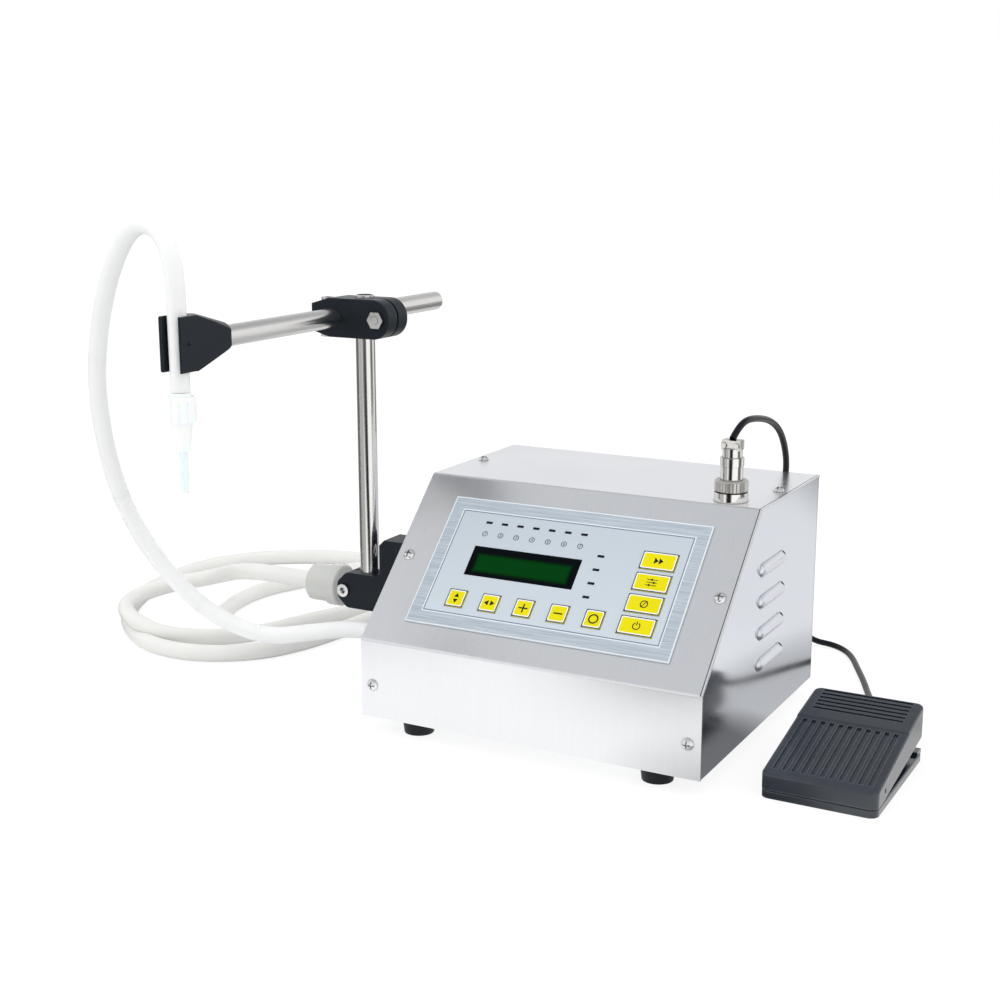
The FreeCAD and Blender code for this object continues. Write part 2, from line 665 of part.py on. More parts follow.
def make_feet():
    """Four turned rubber feet, each with a recessed hole for its screw."""
    feet = []
    for i, (x, y) in enumerate(foot_places()):
        shell = cone(f"foot_shell_{i}", S.foot_radius - S.foot_taper, S.foot_radius,
                     S.foot_height, (x, y, -S.foot_height))
        bore = rod(f"foot_bore_{i}", S.shank_radius + S.screw_clearance, S.foot_height * 2,
                   (x, y, -S.foot_height * 1.5))
        well = rod(f"foot_well_{i}", S.foot_bore, S.foot_recess, (x, y, -S.foot_height - 0.01))
        feet.append(cut(f"foot_{i}", shell, [bore, well]))
    finish(group("rubber_feet", feet))


def pan_screw(name):
    """A cross-slotted pan head screw whose head sits on a face and points along an axis."""
    head = new("Part::Sphere", name + "_dome")
    radius = (S.head_radius * S.head_radius + S.head_height * S.head_height) / (
        2 * S.head_height)
    bind(head, "Radius", radius)
    put(head, (0, 0, S.head_height - radius))
    blank = rod(name + "_blank", S.head_radius, S.head_height, (0, 0, 0))
    dome = new("Part::Common", name + "_head")
    dome.Base = head
    dome.Tool = blank
    shank = rod(name + "_shank", S.shank_radius - S.rest_gap, S.shank_length + 0.5,
                (0, 0, -S.shank_length))
    solid = fuse(name + "_solid", [dome, shank])
    slots = [
        box(f"{name}_slot_{i}", (a, b, S.slot_depth + 1), (-a / 2, -b / 2,
                                                         S.head_height - S.slot_depth))
        for i, (a, b) in enumerate(((S.slot_width, S.head_radius * 1.3),
                                    (S.head_radius * 1.3, S.slot_width)))
    ]
    return cut(name, solid, slots)


def make_screws():
    """The cover's six screws and the four screws of the feet."""
    pieces = []
    for i, (face, x, length) in enumerate(screw_places()):
        screw = pan_screw(f"cover_screw_{i}")
        if face == "front":
            put(screw, (x, -S.rest_gap, S.screw_height), (1, 0, 0), 90)
        elif face == "top":
            put(screw, (x, S.screw_top_y, S.height + S.rest_gap))
        else:
            put(screw, (x, length / 2, S.rest_gap))
            screw = slope_tool(group(f"slope_screw_{i}", [screw]))
        pieces.append(screw)
    for i, (x, y) in enumerate(foot_places()):
        screw = pan_screw(f"foot_screw_{i}")
        put(screw, (x, y, S.foot_recess - S.foot_height - S.rest_gap), (1, 0, 0), 180)
        pieces.append(screw)
    finish(group("cabinet_screws", pieces))


# Keypad

def key_places():
    """Each key's name, middle and width on the slope."""
    names = ("key_up_down", "key_left_right", "key_plus", "key_minus", "key_circle")
    keys = [(name, S.small_key_first + i * S.small_key_pitch, S.small_key_s, S.small_key)
            for i, name in enumerate(names)]
    names = ("key_power", "key_clear", "key_setting", "key_run")
    return keys + [(name, S.wide_key_x, S.wide_key_s + i * S.wide_key_pitch, S.wide_key)
                   for i, name in enumerate(names)]


def led_places():
    """The middle of each indicator: seven in a row, four in a column."""
    row_of_seven = [(S.led_row_x + i * S.led_row_pitch, S.led_row_s) for i in range(7)]
    return row_of_seven + [(S.status_x, S.status_s + i * S.status_pitch) for i in range(4)]


def flat_box(name, x, s, wide, tall, low, high):
    """A block drawn flat about a middle point on the slope."""
    return box(name, (wide, tall, high - low), (x - wide / 2, s - tall / 2, low))


def make_keypad():
    """The overlay plate, its nine sprung keys, the indicators and the display."""
    plate = box("overlay_plate", (S.overlay_width, S.overlay_height, S.overlay_thick),
                (-S.overlay_width / 2, S.overlay_low, 0))
    gap = S.key_gap
    tools = [flat_box(f"{name}_window", x, s, w + 2 * gap, S.small_key + 2 * gap,
                      -S.sheet, S.overlay_thick * 2) for name, x, s, w in key_places()]
    tools += [flat_box(f"led_window_{i}", x, s, S.led_width + gap, S.led_height + gap,
                       -S.sheet, S.overlay_thick * 2) for i, (x, s) in enumerate(led_places())]
    tools.append(flat_box("display_opening", S.lcd_x, S.lcd_s, S.lcd_width + 2 * gap,
                          S.lcd_height + 2 * gap, -S.sheet, S.overlay_thick * 2))
    finish_on_slope(cut("keypad_overlay", plate, tools))
    for name, x, s, w in key_places():
        draft = Draft(name + "_cap")
        high = S.overlay_thick + S.key_rise
        half_w, half_h = w / 2, S.small_key / 2
        draft.pad("xy", S.key_float, high - S.key_float, [[
            (x - half_w, s - half_h), (x + half_w, s - half_h),
            (x + half_w, s + half_h), (x - half_w, s + half_h)]])
        draft.round(1.2, lambda e: along(e, 2))
        stem = rod(name + "_plunger", S.plunger_radius,
                   S.board_drop - S.tact_height + S.key_float - S.key_travel - S.rest_gap,
                   (x, s, S.tact_height + S.key_travel + S.rest_gap - S.board_drop))
        finish_on_slope(fuse(name, [draft.body, stem]))
    lamps = [flat_box(f"lamp_{i}", x, s, S.led_width, S.led_height, S.rest_gap,
                      S.overlay_thick + 0.15) for i, (x, s) in enumerate(led_places())]
    finish_on_slope(group("indicator_lamps", lamps))
    frame_low = -S.lcd_depth
    finish_on_slope(fuse("display_module", [
        flat_box("display_bezel", S.lcd_x, S.lcd_s, S.lcd_width, S.lcd_height, frame_low,
                 S.overlay_thick - S.lcd_sink - 0.4),
        flat_box("display_board", S.lcd_x, S.lcd_s, S.lcd_board_width, S.lcd_board_height,
                 frame_low - S.board_thick, frame_low + 0.01)]))
    finish_on_slope(flat_box("display_glass", S.lcd_x, S.lcd_s, S.lcd_width, S.lcd_height,
                             S.overlay_thick - S.lcd_sink - 0.4, S.overlay_thick - S.lcd_sink))
    middle_s = S.overlay_low + S.overlay_height / 2
    drop = -S.board_drop
    board = flat_box("board_sheet", as_size(0), middle_s, S.board_width, S.board_height,
                     drop - S.board_thick, drop)
    tacts = [flat_box(f"tact_{i}", x, s, S.tact_size, S.tact_size, drop - 0.01,
                      drop + S.tact_height) for i, (name, x, s, w) in enumerate(key_places())]
    chips = [
        flat_box("board_chip", as_size(-20), middle_s, 18, 18, drop - S.board_thick - 3, drop),
        flat_box("board_relay", as_size(40), middle_s - 20, 19, 15,
                 drop - S.board_thick - 14, drop),
        flat_box("board_socket", as_size(-60), middle_s + 25, 24, 6,
                 drop - S.board_thick - 8, drop)]
    half_w = S.board_width / 2 - S.standoff_inset
    half_h = S.board_height / 2 - S.standoff_inset
    posts = [rod(f"standoff_{i}", S.standoff_radius, S.board_drop - S.sheet,
                 (side * half_w, middle_s + end * half_h, drop))
             for i, (side, end) in enumerate(((-1, -1), (1, -1), (1, 1), (-1, 1)))]
    finish_on_slope(fuse("control_board", [board] + tacts + chips + posts))


# Back panel fittings

def make_back_fittings():
    """The power inlet with its pins, and the rocker switch."""
    lip = S.inlet_flange
    back = S.depth
    body = box("inlet_body", (S.inlet_wide - 2 * S.rest_gap, S.inlet_depth,
                              S.inlet_tall - 2 * S.rest_gap),
               (S.inlet_x - S.inlet_wide / 2 + S.rest_gap, back - S.inlet_depth + S.inlet_lip,
                S.inlet_z - S.inlet_tall / 2 + S.rest_gap))
    flange = box("inlet_face", (S.inlet_wide + 2 * lip, S.inlet_lip, S.inlet_tall + 2 * lip),
                 (S.inlet_x - S.inlet_wide / 2 - lip, back, S.inlet_z - S.inlet_tall / 2 - lip))
    pocket_deep = 15.0
    socket = box("inlet_socket", (24.0, pocket_deep, 16.0),
                 (S.inlet_x - 12, back + S.inlet_lip - pocket_deep + 0.5,
                  S.inlet_z - S.inlet_tall / 2 + 2.5))
    drawer = box("fuse_drawer_gap", (22.0, 1.0, 0.8),
                 (S.inlet_x - 11, back + S.inlet_lip - 0.9, S.inlet_z + 5.5))
    shell = cut("inlet_shell", fuse("inlet_solid", [body, flange]), [socket, drawer])
    pins = [box(f"inlet_pin_{i}", (2.0, pocket_deep - 2.5, 4.0),
                (S.inlet_x - 1 + dx, back + S.inlet_lip - pocket_deep,
                 S.inlet_z - S.inlet_tall / 2 + dz))
            for i, (dx, dz) in enumerate(((-7.0, 6.0), (7.0, 6.0), (0.0, 11.0)))]
    inlet = fuse("power_inlet", [shell] + pins)
    rim = S.rocker_flange
    gap = S.rocker_gap
    case = fuse("rocker_case_solid", [
        box("rocker_case_body", (S.rocker_wide - 2 * S.rest_gap, S.rocker_depth,
                                 S.rocker_tall - 2 * S.rest_gap),
            (S.rocker_x - S.rocker_wide / 2 + S.rest_gap, back - S.rocker_depth,
             S.rocker_z - S.rocker_tall / 2 + S.rest_gap)),
        box("rocker_case_rim", (S.rocker_wide + 2 * rim, 1.8, S.rocker_tall + 2 * rim),
            (S.rocker_x - S.rocker_wide / 2 - rim, back, S.rocker_z - S.rocker_tall / 2 - rim))])
    well = box("rocker_well", (S.rocker_wide - 3, 12.0, S.rocker_tall - 2.4),
               (S.rocker_x - S.rocker_wide / 2 + 1.5, back - 9, S.rocker_z
                - S.rocker_tall / 2 + 1.2))
    finish(group("back_fittings", [inlet, cut("rocker_case", case, [well])]))
    paddle = Draft("paddle_wedge")
    half = S.rocker_tall / 2 - 1.2 - gap
    face = back + S.rocker_proud
    paddle.pad("yz", S.rocker_x - S.rocker_wide / 2 + 1.5 + gap, S.rocker_wide - 3 - 2 * gap, [[
        (back - 6.0, S.rocker_z - half * 0.55), (back - 6.0, S.rocker_z + half * 0.55),
        (face, S.rocker_z + half * 0.93), (face - 2.0, S.rocker_z),
        (face, S.rocker_z - half * 0.93)]])
    pivots = rod("rocker_pivots", 1.3, S.rocker_wide - 3 - gap,
                 (S.rocker_x - S.rocker_wide / 2 + 1.5 + gap / 2, back - 2.0, S.rocker_z), "x")
    finish(fuse("rocker_paddle", [paddle.body, pivots]))


# Stand

def make_bracket():
    """The moulded bracket: a tall foot on the panel and a split lug for the rod."""
    draft = Draft("bracket_body")
    face = -S.width / 2
    back_x = face - S.bracket_thick
    end_x = face - S.lug_reach
    low = S.bracket_low
    top = low + S.lug_height
    bevel = S.lug_height * 0.29
    chamfer = S.bracket_chamfer
    draft.pad("xz", S.bracket_y, S.bracket_deep, [[
        (face, low), (face, S.bracket_top), (back_x + chamfer, S.bracket_top),
        (back_x, S.bracket_top - chamfer), (back_x, top + 2.5), (back_x - 2.5, top),
        (end_x + bevel, top), (end_x, top - bevel), (end_x, low + bevel),
        (end_x + bevel, low)]])
    draft.round(S.lug_height * 0.22, lambda e: along(e, 1) and (
        near(e, 0, end_x) or near(e, 0, end_x + bevel)))
    draft.round(0.9, lambda e: along(e, 1) is False and along(e, 0) is False
                and along(e, 2) is False and e.Length > 2 and near(e, 0, end_x, 6))
    middle = S.bracket_y + S.bracket_deep / 2
    bore = S.rod_radius + S.slide_fit
    screw_x = S.rod_x - S.clamp_screw_x
    screw_z = low + S.lug_height / 2
    hole = S.clamp_shank + S.screw_clearance
    tools = [
        rod("rod_bore", bore, S.lug_height * 2, (S.rod_x, middle, low + S.rod_stop)),
        box("lug_slot", (S.lug_reach, S.lug_split, S.lug_height * 2),
            (S.rod_x - S.lug_reach, middle - S.lug_split / 2, low - S.lug_height / 2)),
        rod("lug_screw_hole", hole, S.bracket_deep * 2, (screw_x, S.bracket_y - 5, screw_z), "y"),
        rod("lug_screw_well", S.clamp_head + S.screw_clearance, S.clamp_head_height * 0.6,
            (screw_x, S.bracket_y - 0.01, screw_z), "y"),
    ]
    for i in range(2):
        z = S.panel_bolt_low + i * S.panel_bolt_pitch
        tools.append(rod(f"panel_bolt_hole_{i}", hole, S.lug_reach * 2,
                         (face - S.lug_reach * 1.2, middle, z), "x"))
    tools.append(rod("panel_bolt_well", S.clamp_head + S.screw_clearance, S.bracket_thick,
                     (back_x - 2, middle, S.panel_bolt_low + S.panel_bolt_pitch), "x"))
    tools[-1].setExpression("Height", f"{(S.clamp_head_height * 0.8 + 2).formula}")
    finish(cut("stand_bracket", draft.body, tools))


def socket_screw(name, length, tall=None):
    """A hex socket cap screw drawn along Z with its head on top of Z = 0."""
    tall = tall or S.clamp_head_height
    body = fuse(name + "_solid", [
        rod(name + "_head", S.clamp_head, tall, (0, 0, 0)),
        rod(name + "_shank", S.clamp_shank, length, (0, 0, -length)),
    ])
    return cut(name, body, [prism(name + "_key", 6, S.hex_key * 1.155, tall,
                                  (0, 0, tall * 0.45))])


def make_bracket_screws():
    """The lug's clamping screw and the bolt that holds the bracket to the panel."""
    low = S.bracket_low
    middle = S.bracket_y + S.bracket_deep / 2
    clamp = socket_screw("lug_screw", S.bracket_deep - S.clamp_head_height * 0.6 - 1)
    put(clamp, (S.rod_x - S.clamp_screw_x,
                S.bracket_y + S.clamp_head_height * 0.6 - S.rest_gap - 0.01,
                low + S.lug_height / 2), (1, 0, 0), 90)
    upper = socket_screw("panel_bolt", S.bracket_thick + S.sheet)
    put(upper, (-S.width / 2 - S.bracket_thick + S.clamp_head_height * 0.8 - S.rest_gap, middle,
                S.panel_bolt_low + S.panel_bolt_pitch), (0, 1, 0), -90)
    nut_x = -S.width / 2 + S.panel_inset + S.sheet + S.rest_gap
    nuts = [cut(f"panel_nut_{i}", prism(f"panel_nut_blank_{i}", 6, S.nut_across / 2 * 1.155,
                                        S.nut_thick, (nut_x, middle,
                                                      S.panel_bolt_low + i * S.panel_bolt_pitch),
                                        "x"),
                [rod(f"panel_nut_bore_{i}", S.clamp_shank + S.rest_gap / 2, S.nut_thick * 3,
                     (nut_x - S.nut_thick, middle, S.panel_bolt_low + i * S.panel_bolt_pitch),
                     "x")]) for i in range(2)]
    stud_end = S.width / 2 - S.panel_inset - S.sheet - S.nut_thick
    lower = rod("panel_stud", S.clamp_shank, S.bracket_thick - 8 + S.nut_thick + S.sheet * 2,
                (-stud_end + 0.5, middle, S.panel_bolt_low), "-x")
    finish(group("bracket_screws", [clamp, upper, lower] + nuts))


def make_rods():
    """The upright rod in the lug and the arm in the cross clamp: round steel tube."""
    bottom = S.bracket_low + S.rod_stop + S.rest_gap
    top = S.arm_z + S.clamp_height / 2 + S.rod_proud
    middle = S.bracket_y + S.bracket_deep / 2
    upright = Draft("stand_rod_tube")
    length = top - bottom
    upright.revolve("xz", tube_profile(length))
    put(upright.body, (S.rod_x, middle, bottom))
    finish(group("stand_rod", [upright.body]))
    arm = Draft("arm_rod_tube")
    arm.revolve("xz", tube_profile(S.arm_back - S.arm_front))
    put(arm.body, (S.arm_x, S.arm_front, S.arm_z), (1, 0, 0), -90)
    finish(group("arm_rod", [arm.body]))


def tube_profile(length):
    """Half the section of a bevelled tube of the rods' size."""
    r, wall, bevel = S.rod_radius, S.rod_wall, as_size(0.6)
    return [(r - wall, 0), (r - bevel, 0), (r, bevel), (r, length - bevel),
            (r - bevel, length), (r - wall, length)]


def make_cross_clamp():
    """The moulded block that clamps the arm to the upright rod, split at both ends."""
    draft = Draft("clamp_body")
    front = S.bracket_y + S.bracket_deep / 2 - S.clamp_deep / 2
    middle = front + S.clamp_deep / 2
    z = S.arm_z
    half = S.clamp_height / 2
    right = S.rod_x + S.clamp_right
    left = S.arm_x - S.clamp_left
    draft.pad("xz", front, S.clamp_deep, [[
        (right, z - half), (right, z + half), (left + S.ear_run, z + half),
        (left, z + S.ear_half), (left, z - S.ear_half), (left + S.ear_run, z - half)]])
    draft.round(half * 0.96, lambda e: along(e, 1) and near(e, 0, right))
    draft.round(1.0, lambda e: not along(e, 1) and near(e, 0, right, 9) and e.Length > 1)
    hole = S.clamp_shank + S.screw_clearance
    fit = S.rod_radius + S.slide_fit
    flat = S.nut_across / 2 * 1.155 + S.screw_clearance
    tools = [
        rod("upright_bore", fit, S.clamp_height * 2, (S.rod_x, middle, z - S.clamp_height)),
        rod("arm_bore", fit, S.clamp_deep * 2, (S.arm_x, front - S.clamp_deep / 2, z), "y"),
        box("upright_split", (S.clamp_right * 2, S.lug_split, S.clamp_height * 2),
            (S.rod_x, middle - S.lug_split / 2, z - S.clamp_height)),
        box("arm_split", (S.clamp_left * 2, S.clamp_deep * 2, S.lug_split),
            (S.arm_x - S.clamp_left * 2, front - S.clamp_deep / 2, z - S.lug_split / 2)),
        rod("upright_bolt_hole", hole, S.clamp_deep * 2,
            (S.rod_x + S.rod_bolt_x, front - 5, z), "y"),
        rod("arm_bolt_hole", hole, S.clamp_height * 2,
            (S.arm_x - S.arm_bolt_x, middle, z - S.clamp_height)),
        prism("nut_pocket", 6, (S.nut_across / 2 + S.screw_clearance) * 1.155,
              S.nut_thick * 0.5, (S.rod_x + S.rod_bolt_x, front - 0.01, z), "y"),
        box("ear_flat_top", (flat * 2, flat * 2, S.clamp_height),
            (S.arm_x - S.arm_bolt_x - flat, middle - flat, z + S.ear_half)),
        box("ear_flat_low", (flat * 2, flat * 2, S.clamp_height),
            (S.arm_x - S.arm_bolt_x - flat, middle - flat, z - S.ear_half - S.clamp_height)),
    ]
    finish(cut("cross_clamp", draft.body, tools))


def make_clamp_bolts():
    """Both bolts of the cross clamp with their nuts."""
    middle = S.bracket_y + S.bracket_deep / 2
    front = middle - S.clamp_deep / 2
    z = S.arm_z
    x = S.rod_x + S.rod_bolt_x
    sunk = S.nut_thick * 0.5
    nut = cut("upright_nut", prism("upright_nut_blank", 6, S.nut_across / 2 * 1.155, S.nut_thick,
                                   (x, front + sunk - S.nut_thick - S.rest_gap, z), "y"),
              [rod("upright_nut_bore", S.clamp_shank + S.rest_gap / 2, S.nut_thick * 3,
                   (x, front - S.nut_thick * 2, z), "y")])
    bolt = socket_screw("upright_bolt", S.clamp_deep + S.nut_thick * 0.6)
    put(bolt, (x, front + S.clamp_deep + S.rest_gap, z), (1, 0, 0), -90)
    ear = socket_screw("ear_bolt", S.ear_half * 2 + S.nut_thick, S.ear_head_height)
    ear_x = S.arm_x - S.arm_bolt_x
    put(ear, (ear_x, middle, z + S.ear_half + S.rest_gap))
    ear_nut = cut("ear_nut", prism("ear_nut_blank", 6, S.nut_across / 2 * 1.155, S.nut_thick,
                                   (ear_x, middle, z - S.ear_half - S.nut_thick - S.rest_gap)),
                  [rod("ear_nut_bore", S.clamp_shank + S.rest_gap / 2, S.nut_thick * 3,
                       (ear_x, middle, z - S.ear_half - S.nut_thick * 2))])
    finish(group("cross_clamp_bolts", [nut, bolt, ear, ear_nut]))


def make_holder():
    """The hose holder: a channel open to the front on a tapered body that takes the arm's end."""
    back = S.holder_front + S.holder_deep
    half_w, half_h = S.holder_width / 2, S.holder_height / 2
    x, z = S.arm_x, S.arm_z
    draft = Draft("holder_body")
    draft.pad("xz", S.holder_front, S.holder_deep, [[
        (x - half_w, z - half_h), (x + half_w, z - half_h),
        (x + half_w, z + half_h), (x - half_w, z + half_h)]])
    draft.round(1.2, lambda e: along(e, 1))
    narrow = half_w - S.holder_step
    taper = new("Part::MultiCommon", "holder_taper_solid")
    taper.Shapes = [
        box("holder_taper_block", (narrow * 2, S.holder_taper + 1, half_h * 2),
            (x - narrow, back - 1, z - half_h)),
        cone("holder_taper_cone", half_w + half_h * 0.62, S.boss_radius, S.holder_taper + 1,
             (x, back - 1, z), "y")]
    solid = fuse("holder_solid", [draft.body, taper])
    gap = S.outlet_radius + S.hose_gap
    hose_y = hose_axis()
    tools = [
        rod("holder_arm_bore", S.rod_radius + S.slide_fit, S.holder_taper * 3,
            (x, S.arm_front - S.rest_gap, z), "y"),
        rod("holder_hose_bore", gap, S.holder_height * 2,
            (x, hose_y, z - S.holder_height)),
        box("holder_mouth_cut", (gap * 2, hose_y - S.holder_front + S.holder_deep,
                                 S.holder_height * 2),
            (x - gap, S.holder_front - S.holder_deep, z - S.holder_height)),
        rod("holder_set_screw_hole", S.set_screw + S.rest_gap, S.holder_width,
            (x + gap - 0.5, hose_y, z), "x"),
    ]
    finish(cut("hose_holder", solid, tools))
    pin = cut("holder_set_screw", rod("set_screw_blank", S.set_screw, half_w - gap + 0.3,
                                      (x + gap + S.rest_gap, hose_y, z), "x"),
              [prism("set_screw_key", 6, S.set_screw * 0.55, 2.0,
                     (x + half_w - 0.7, hose_y, z), "x")])
    finish(pin)


# Hoses

def hose_axis():
    """Where the outlet hose stands upright in the holder, in the cabinet's frame."""
    return S.holder_front + S.holder_lip + S.outlet_radius + S.hose_gap


def make_nozzle():
    """The turned nozzle on the outlet hose: union nut, cone and thin spout."""
    top = S.nozzle_top
    low = top - S.nozzle_body
    tip = low - S.nozzle_cone
    draft = Draft("nozzle_body")
    bore = S.spout_bore
    draft.revolve("xz", [
        (bore, tip - S.spout_length), (S.spout_radius * 0.8, tip - S.spout_length),
        (S.spout_radius, tip), (S.spout_radius * 1.6, tip),
        (S.nozzle_radius * 0.72, low), (S.nozzle_radius * 0.72, top - 1),
        (S.nozzle_radius * 0.72 - 1, top), (bore, top)])
    put(draft.body, (S.arm_x, hose_axis(), 0))
    nut = Draft("nozzle_nut_body")
    inner = S.nozzle_radius * 0.72 + S.rest_gap
    nut.revolve("xz", [(inner, low + 1), (S.nozzle_radius, low + 1), (S.nozzle_radius, top - 4),
                       (S.nozzle_radius * 0.86, top - 2.2), (inner, top - 2.2)])
    DOC.recompute()
    notch = nut.pocket("xy", low, S.nozzle_body, [((S.nozzle_radius + 0.7, 0), as_size(1.3))])
    pattern = nut.body.newObject("PartDesign::PolarPattern", "nozzle_nut_grips")
    pattern.Originals = [notch]
    pattern.Axis = (notch.Profile[0], ["N_Axis"])
    pattern.Angle = 360
    pattern.Occurrences = 12
    nut.body.Tip = pattern
    put(nut.body, (S.arm_x, hose_axis(), 0))
    finish(group("filling_nozzle", [draft.body, nut.body]))


def bulkhead(name, y, z, reach):
    """A hose tail through the left panel with its hexagon outside and nut inside, as a pair."""
    face = S.width / 2
    solids = [
        prism(name + "_hex", 6, S.hex_across / 2 * 1.155, S.hex_thick, (-face, y, z), "-x"),
        rod(name + "_thread", S.barb_radius + 1.1, S.sheet + S.hex_thick * 1.6,
            (-face - 0.01, y, z), "x"),
    ]
    if reach is not None:
        solids.append(rod(name + "_pipe", S.barb_radius, reach, (-face, y, z), "-x"))
        solids.append(cone(name + "_barb", S.barb_radius, S.barb_radius * 1.16, 2.4,
                           (-face - reach + 5, y, z), "x"))
    tail = cut(name + "_tail", fuse(name + "_solid", solids),
               [rod(name + "_bore", S.barb_bore, S.fitting_reach * 4,
                    (-face - S.fitting_reach * 1.5, y, z), "x")])
    inside = -face + S.panel_inset + S.sheet + S.rest_gap
    nut = cut(name + "_nut", prism(name + "_nut_blank", 6, S.hex_across / 2 * 1.155,
                                   S.hex_thick * 0.7, (inside, y, z), "x"),
              [rod(name + "_nut_bore", S.barb_radius + 1.1 + S.rest_gap / 2, S.hex_thick * 3,
                   (inside - S.hex_thick, y, z), "x")])
    return [tail, nut]


def make_strainer():
    """The inline strainer between the inlet fitting and the suction hose."""
    y, z = S.suction_y, S.suction_z
    right = S.strainer_x + S.strainer_length
    draft = Draft("strainer_shell")
    r, c = S.strainer_radius, S.collar_radius
    wall = as_size(1.8)
    inner_left, inner_right = S.strainer_x + wall, right - wall
    draft.revolve("xz", [
        (S.strainer_x, S.barb_bore), (S.strainer_x, r - 2), (S.strainer_x + 2, r),
        (right - S.collar_length, r), (right - S.collar_length, c), (right - 1, c),
        (right, c - 1), (right, S.barb_bore), (inner_right, S.barb_bore),
        (inner_right, r - wall), (inner_left, r - wall), (inner_left, S.barb_bore)], "H_Axis")
    put(draft.body, (0, y, z))
    tail = cut("strainer_tail", rod("strainer_tail_blank", S.barb_radius, S.stub_length,
                                    (right - 0.5, y, z), "x"),
               [rod("strainer_tail_bore", S.barb_bore, S.stub_length * 2,
                    (right - S.stub_length * 0.5, y, z), "x")])
    finish(fuse("inlet_strainer", [draft.body, tail]))
    screen = cut("strainer_screen", rod("screen_outer", r * 0.55, S.strainer_length - wall * 2
                                        - 0.4, (inner_left + 0.2, y, z), "x"),
                 [rod("screen_inner", r * 0.55 - 0.8, S.strainer_length, (S.strainer_x, y, z),
                      "x")])
    finish(screen)


def corner_arcs(points):
    """For each inner point of a route, the tangent arc's first, middle and last point."""
    arcs = []
    for before, corner, after in zip(points, points[1:], points[2:]):
        into = (corner - before).normalize()
        out = (after - corner).normalize()
        trim = 0.45 * min((corner - before).Length, (after - corner).Length)
        turn = into.getAngle(out)
        radius = trim / math.tan(turn / 2)
        towards = (out - into).normalize()
        middle = corner + towards * (radius / math.cos(turn / 2) - radius)
        arcs.append((corner - into * trim, middle, corner + out * trim, radius))
    return arcs


def tube(name, points, radius, report, runs=None):
    """A plain round cord along a route, or between the middles of two of its runs."""
    shift = Vector(float(S.cabinet_x), float(S.cabinet_y), float(S.foot_height))
    route = [Vector(*point) + shift for point in points]
    arcs = corner_arcs(route)
    first, last = runs or (0, len(route) - 2)
    start = route[0] if first == 0 else (route[first] + route[first + 1]) / 2
    end = route[-1] if last == len(route) - 2 else (route[last] + route[last + 1]) / 2
    direction = (route[first + 1] - route[first]).normalize()
    edges = []
    here = start
    for into, middle, out, _ in arcs[first:last]:
        edges.append(Part.LineSegment(here, into).toShape())
        edges.append(Part.Arc(into, middle, out).toShape())
        here = out
    edges.append(Part.LineSegment(here, end).toShape())
    path = Part.Wire(edges)
    profile = Part.Wire([Part.Circle(start, direction, radius).toShape()])
    solid = path.makePipeShell([profile], True, False)
    expected = math.pi * radius * radius * path.Length
    if abs(solid.Volume - expected) > 0.02 * expected:
        raise RuntimeError(f"{name}: volume {solid.Volume:.0f} is not {expected:.0f}")
    radii = [round(arc[3]) for arc in arcs[first:last]]
    report.append(f"{name}: length {path.Length:.0f} mm, radii {radii}, diameter {2 * radius:.1f}")
    DONE.append(feature(name, solid))
    return path.Length


def make_cable_coil(report):
    """The outer shape of the cable's coil: two layers of turns and a straight lead each way."""
    thick = 2 * float(S.cable_radius)
    angle = float(S.coil_enter - S.coil_leave) + 360 * float(S.coil_rounds)
    outer = float(S.coil_radius)
    inner = outer - thick * angle / 720
    floor = Vector(float(S.cabinet_x + S.coil_x), float(S.cabinet_y + S.coil_y), 0)
    ring = Part.makeCylinder(outer + thick / 2, 2 * thick, floor).cut(
        Part.makeCylinder(inner - thick / 2, 2 * thick, floor))
    leads = []
    for turn, layer, way in ((float(S.coil_enter), 0, -1), (float(S.coil_leave), 1, 1)):
        turn = math.radians(turn)
        start = floor + Vector(outer * math.cos(turn), outer * math.sin(turn),
                               thick * (layer + 0.5))
        heading = Vector(math.sin(turn), -math.cos(turn), 0) * way
        leads.append(Part.makeCylinder(thick / 2, float(S.coil_lead), start, heading))
    DONE.append(feature("cable_coil", ring.multiFuse(leads)))
    length = math.radians(angle) * (outer + inner) / 2
    report.append(f"cable_coil: length {length:.0f} mm in {angle / 360:.1f} turns, radii "
                  f"{inner:.1f} to {outer:.1f}")


def make_hoses():
    """The free cords: outlet hose in five lengths, suction hose, and the pedal's cable."""
    report = []
    outlet = [list(p) for p in OUTLET_ROUTE]
    for point in outlet[-2:]:
        point[0], point[1] = float(S.arm_x), float(hose_axis())
    outlet[-1][2] = float(S.nozzle_top + S.hose_gap)
    outlet[0] = [float(-S.width / 2 - S.hex_thick - S.rest_gap * 3), float(S.outlet_y),
                 float(S.outlet_z)]
    total = 0.0
    first = 0
    for name, last in OUTLET_LENGTHS.items():
        last = last or len(outlet) - 2
        total += tube(name, outlet, float(S.outlet_radius), report, (first, last))
        first = last
    report.append(f"outlet hose in all {total:.0f} mm")
    suction = [list(p) for p in SUCTION_ROUTE]
    suction[0] = [float(S.strainer_x - S.hose_gap), float(S.suction_y), float(S.suction_z)]
    tube("suction_hose", suction, float(S.suction_radius), report)
    tube("pedal_cable", CABLE_ROUTE, float(S.cable_radius), report)
    make_cable_coil(report)
    tube("pedal_cable_end", CABLE_END_ROUTE, float(S.cable_radius), report)
    right = S.strainer_x + S.strainer_length
    start = -S.width / 2 - S.hex_thick - S.rest_gap * 3
    length = start - right - S.rest_gap * 3
    hose = cut("inlet_stub_hose", rod("stub_outer", S.suction_radius, length,
                                      (start, S.suction_y, S.suction_z), "-x"),
               [rod("stub_inner", S.barb_radius * 1.16 + S.rest_gap, length * 2,
                    (start + length / 2, S.suction_y, S.suction_z), "-x")])
    finish(hose)
    for line in report:
        print(line)


# Connector of the pedal's cable

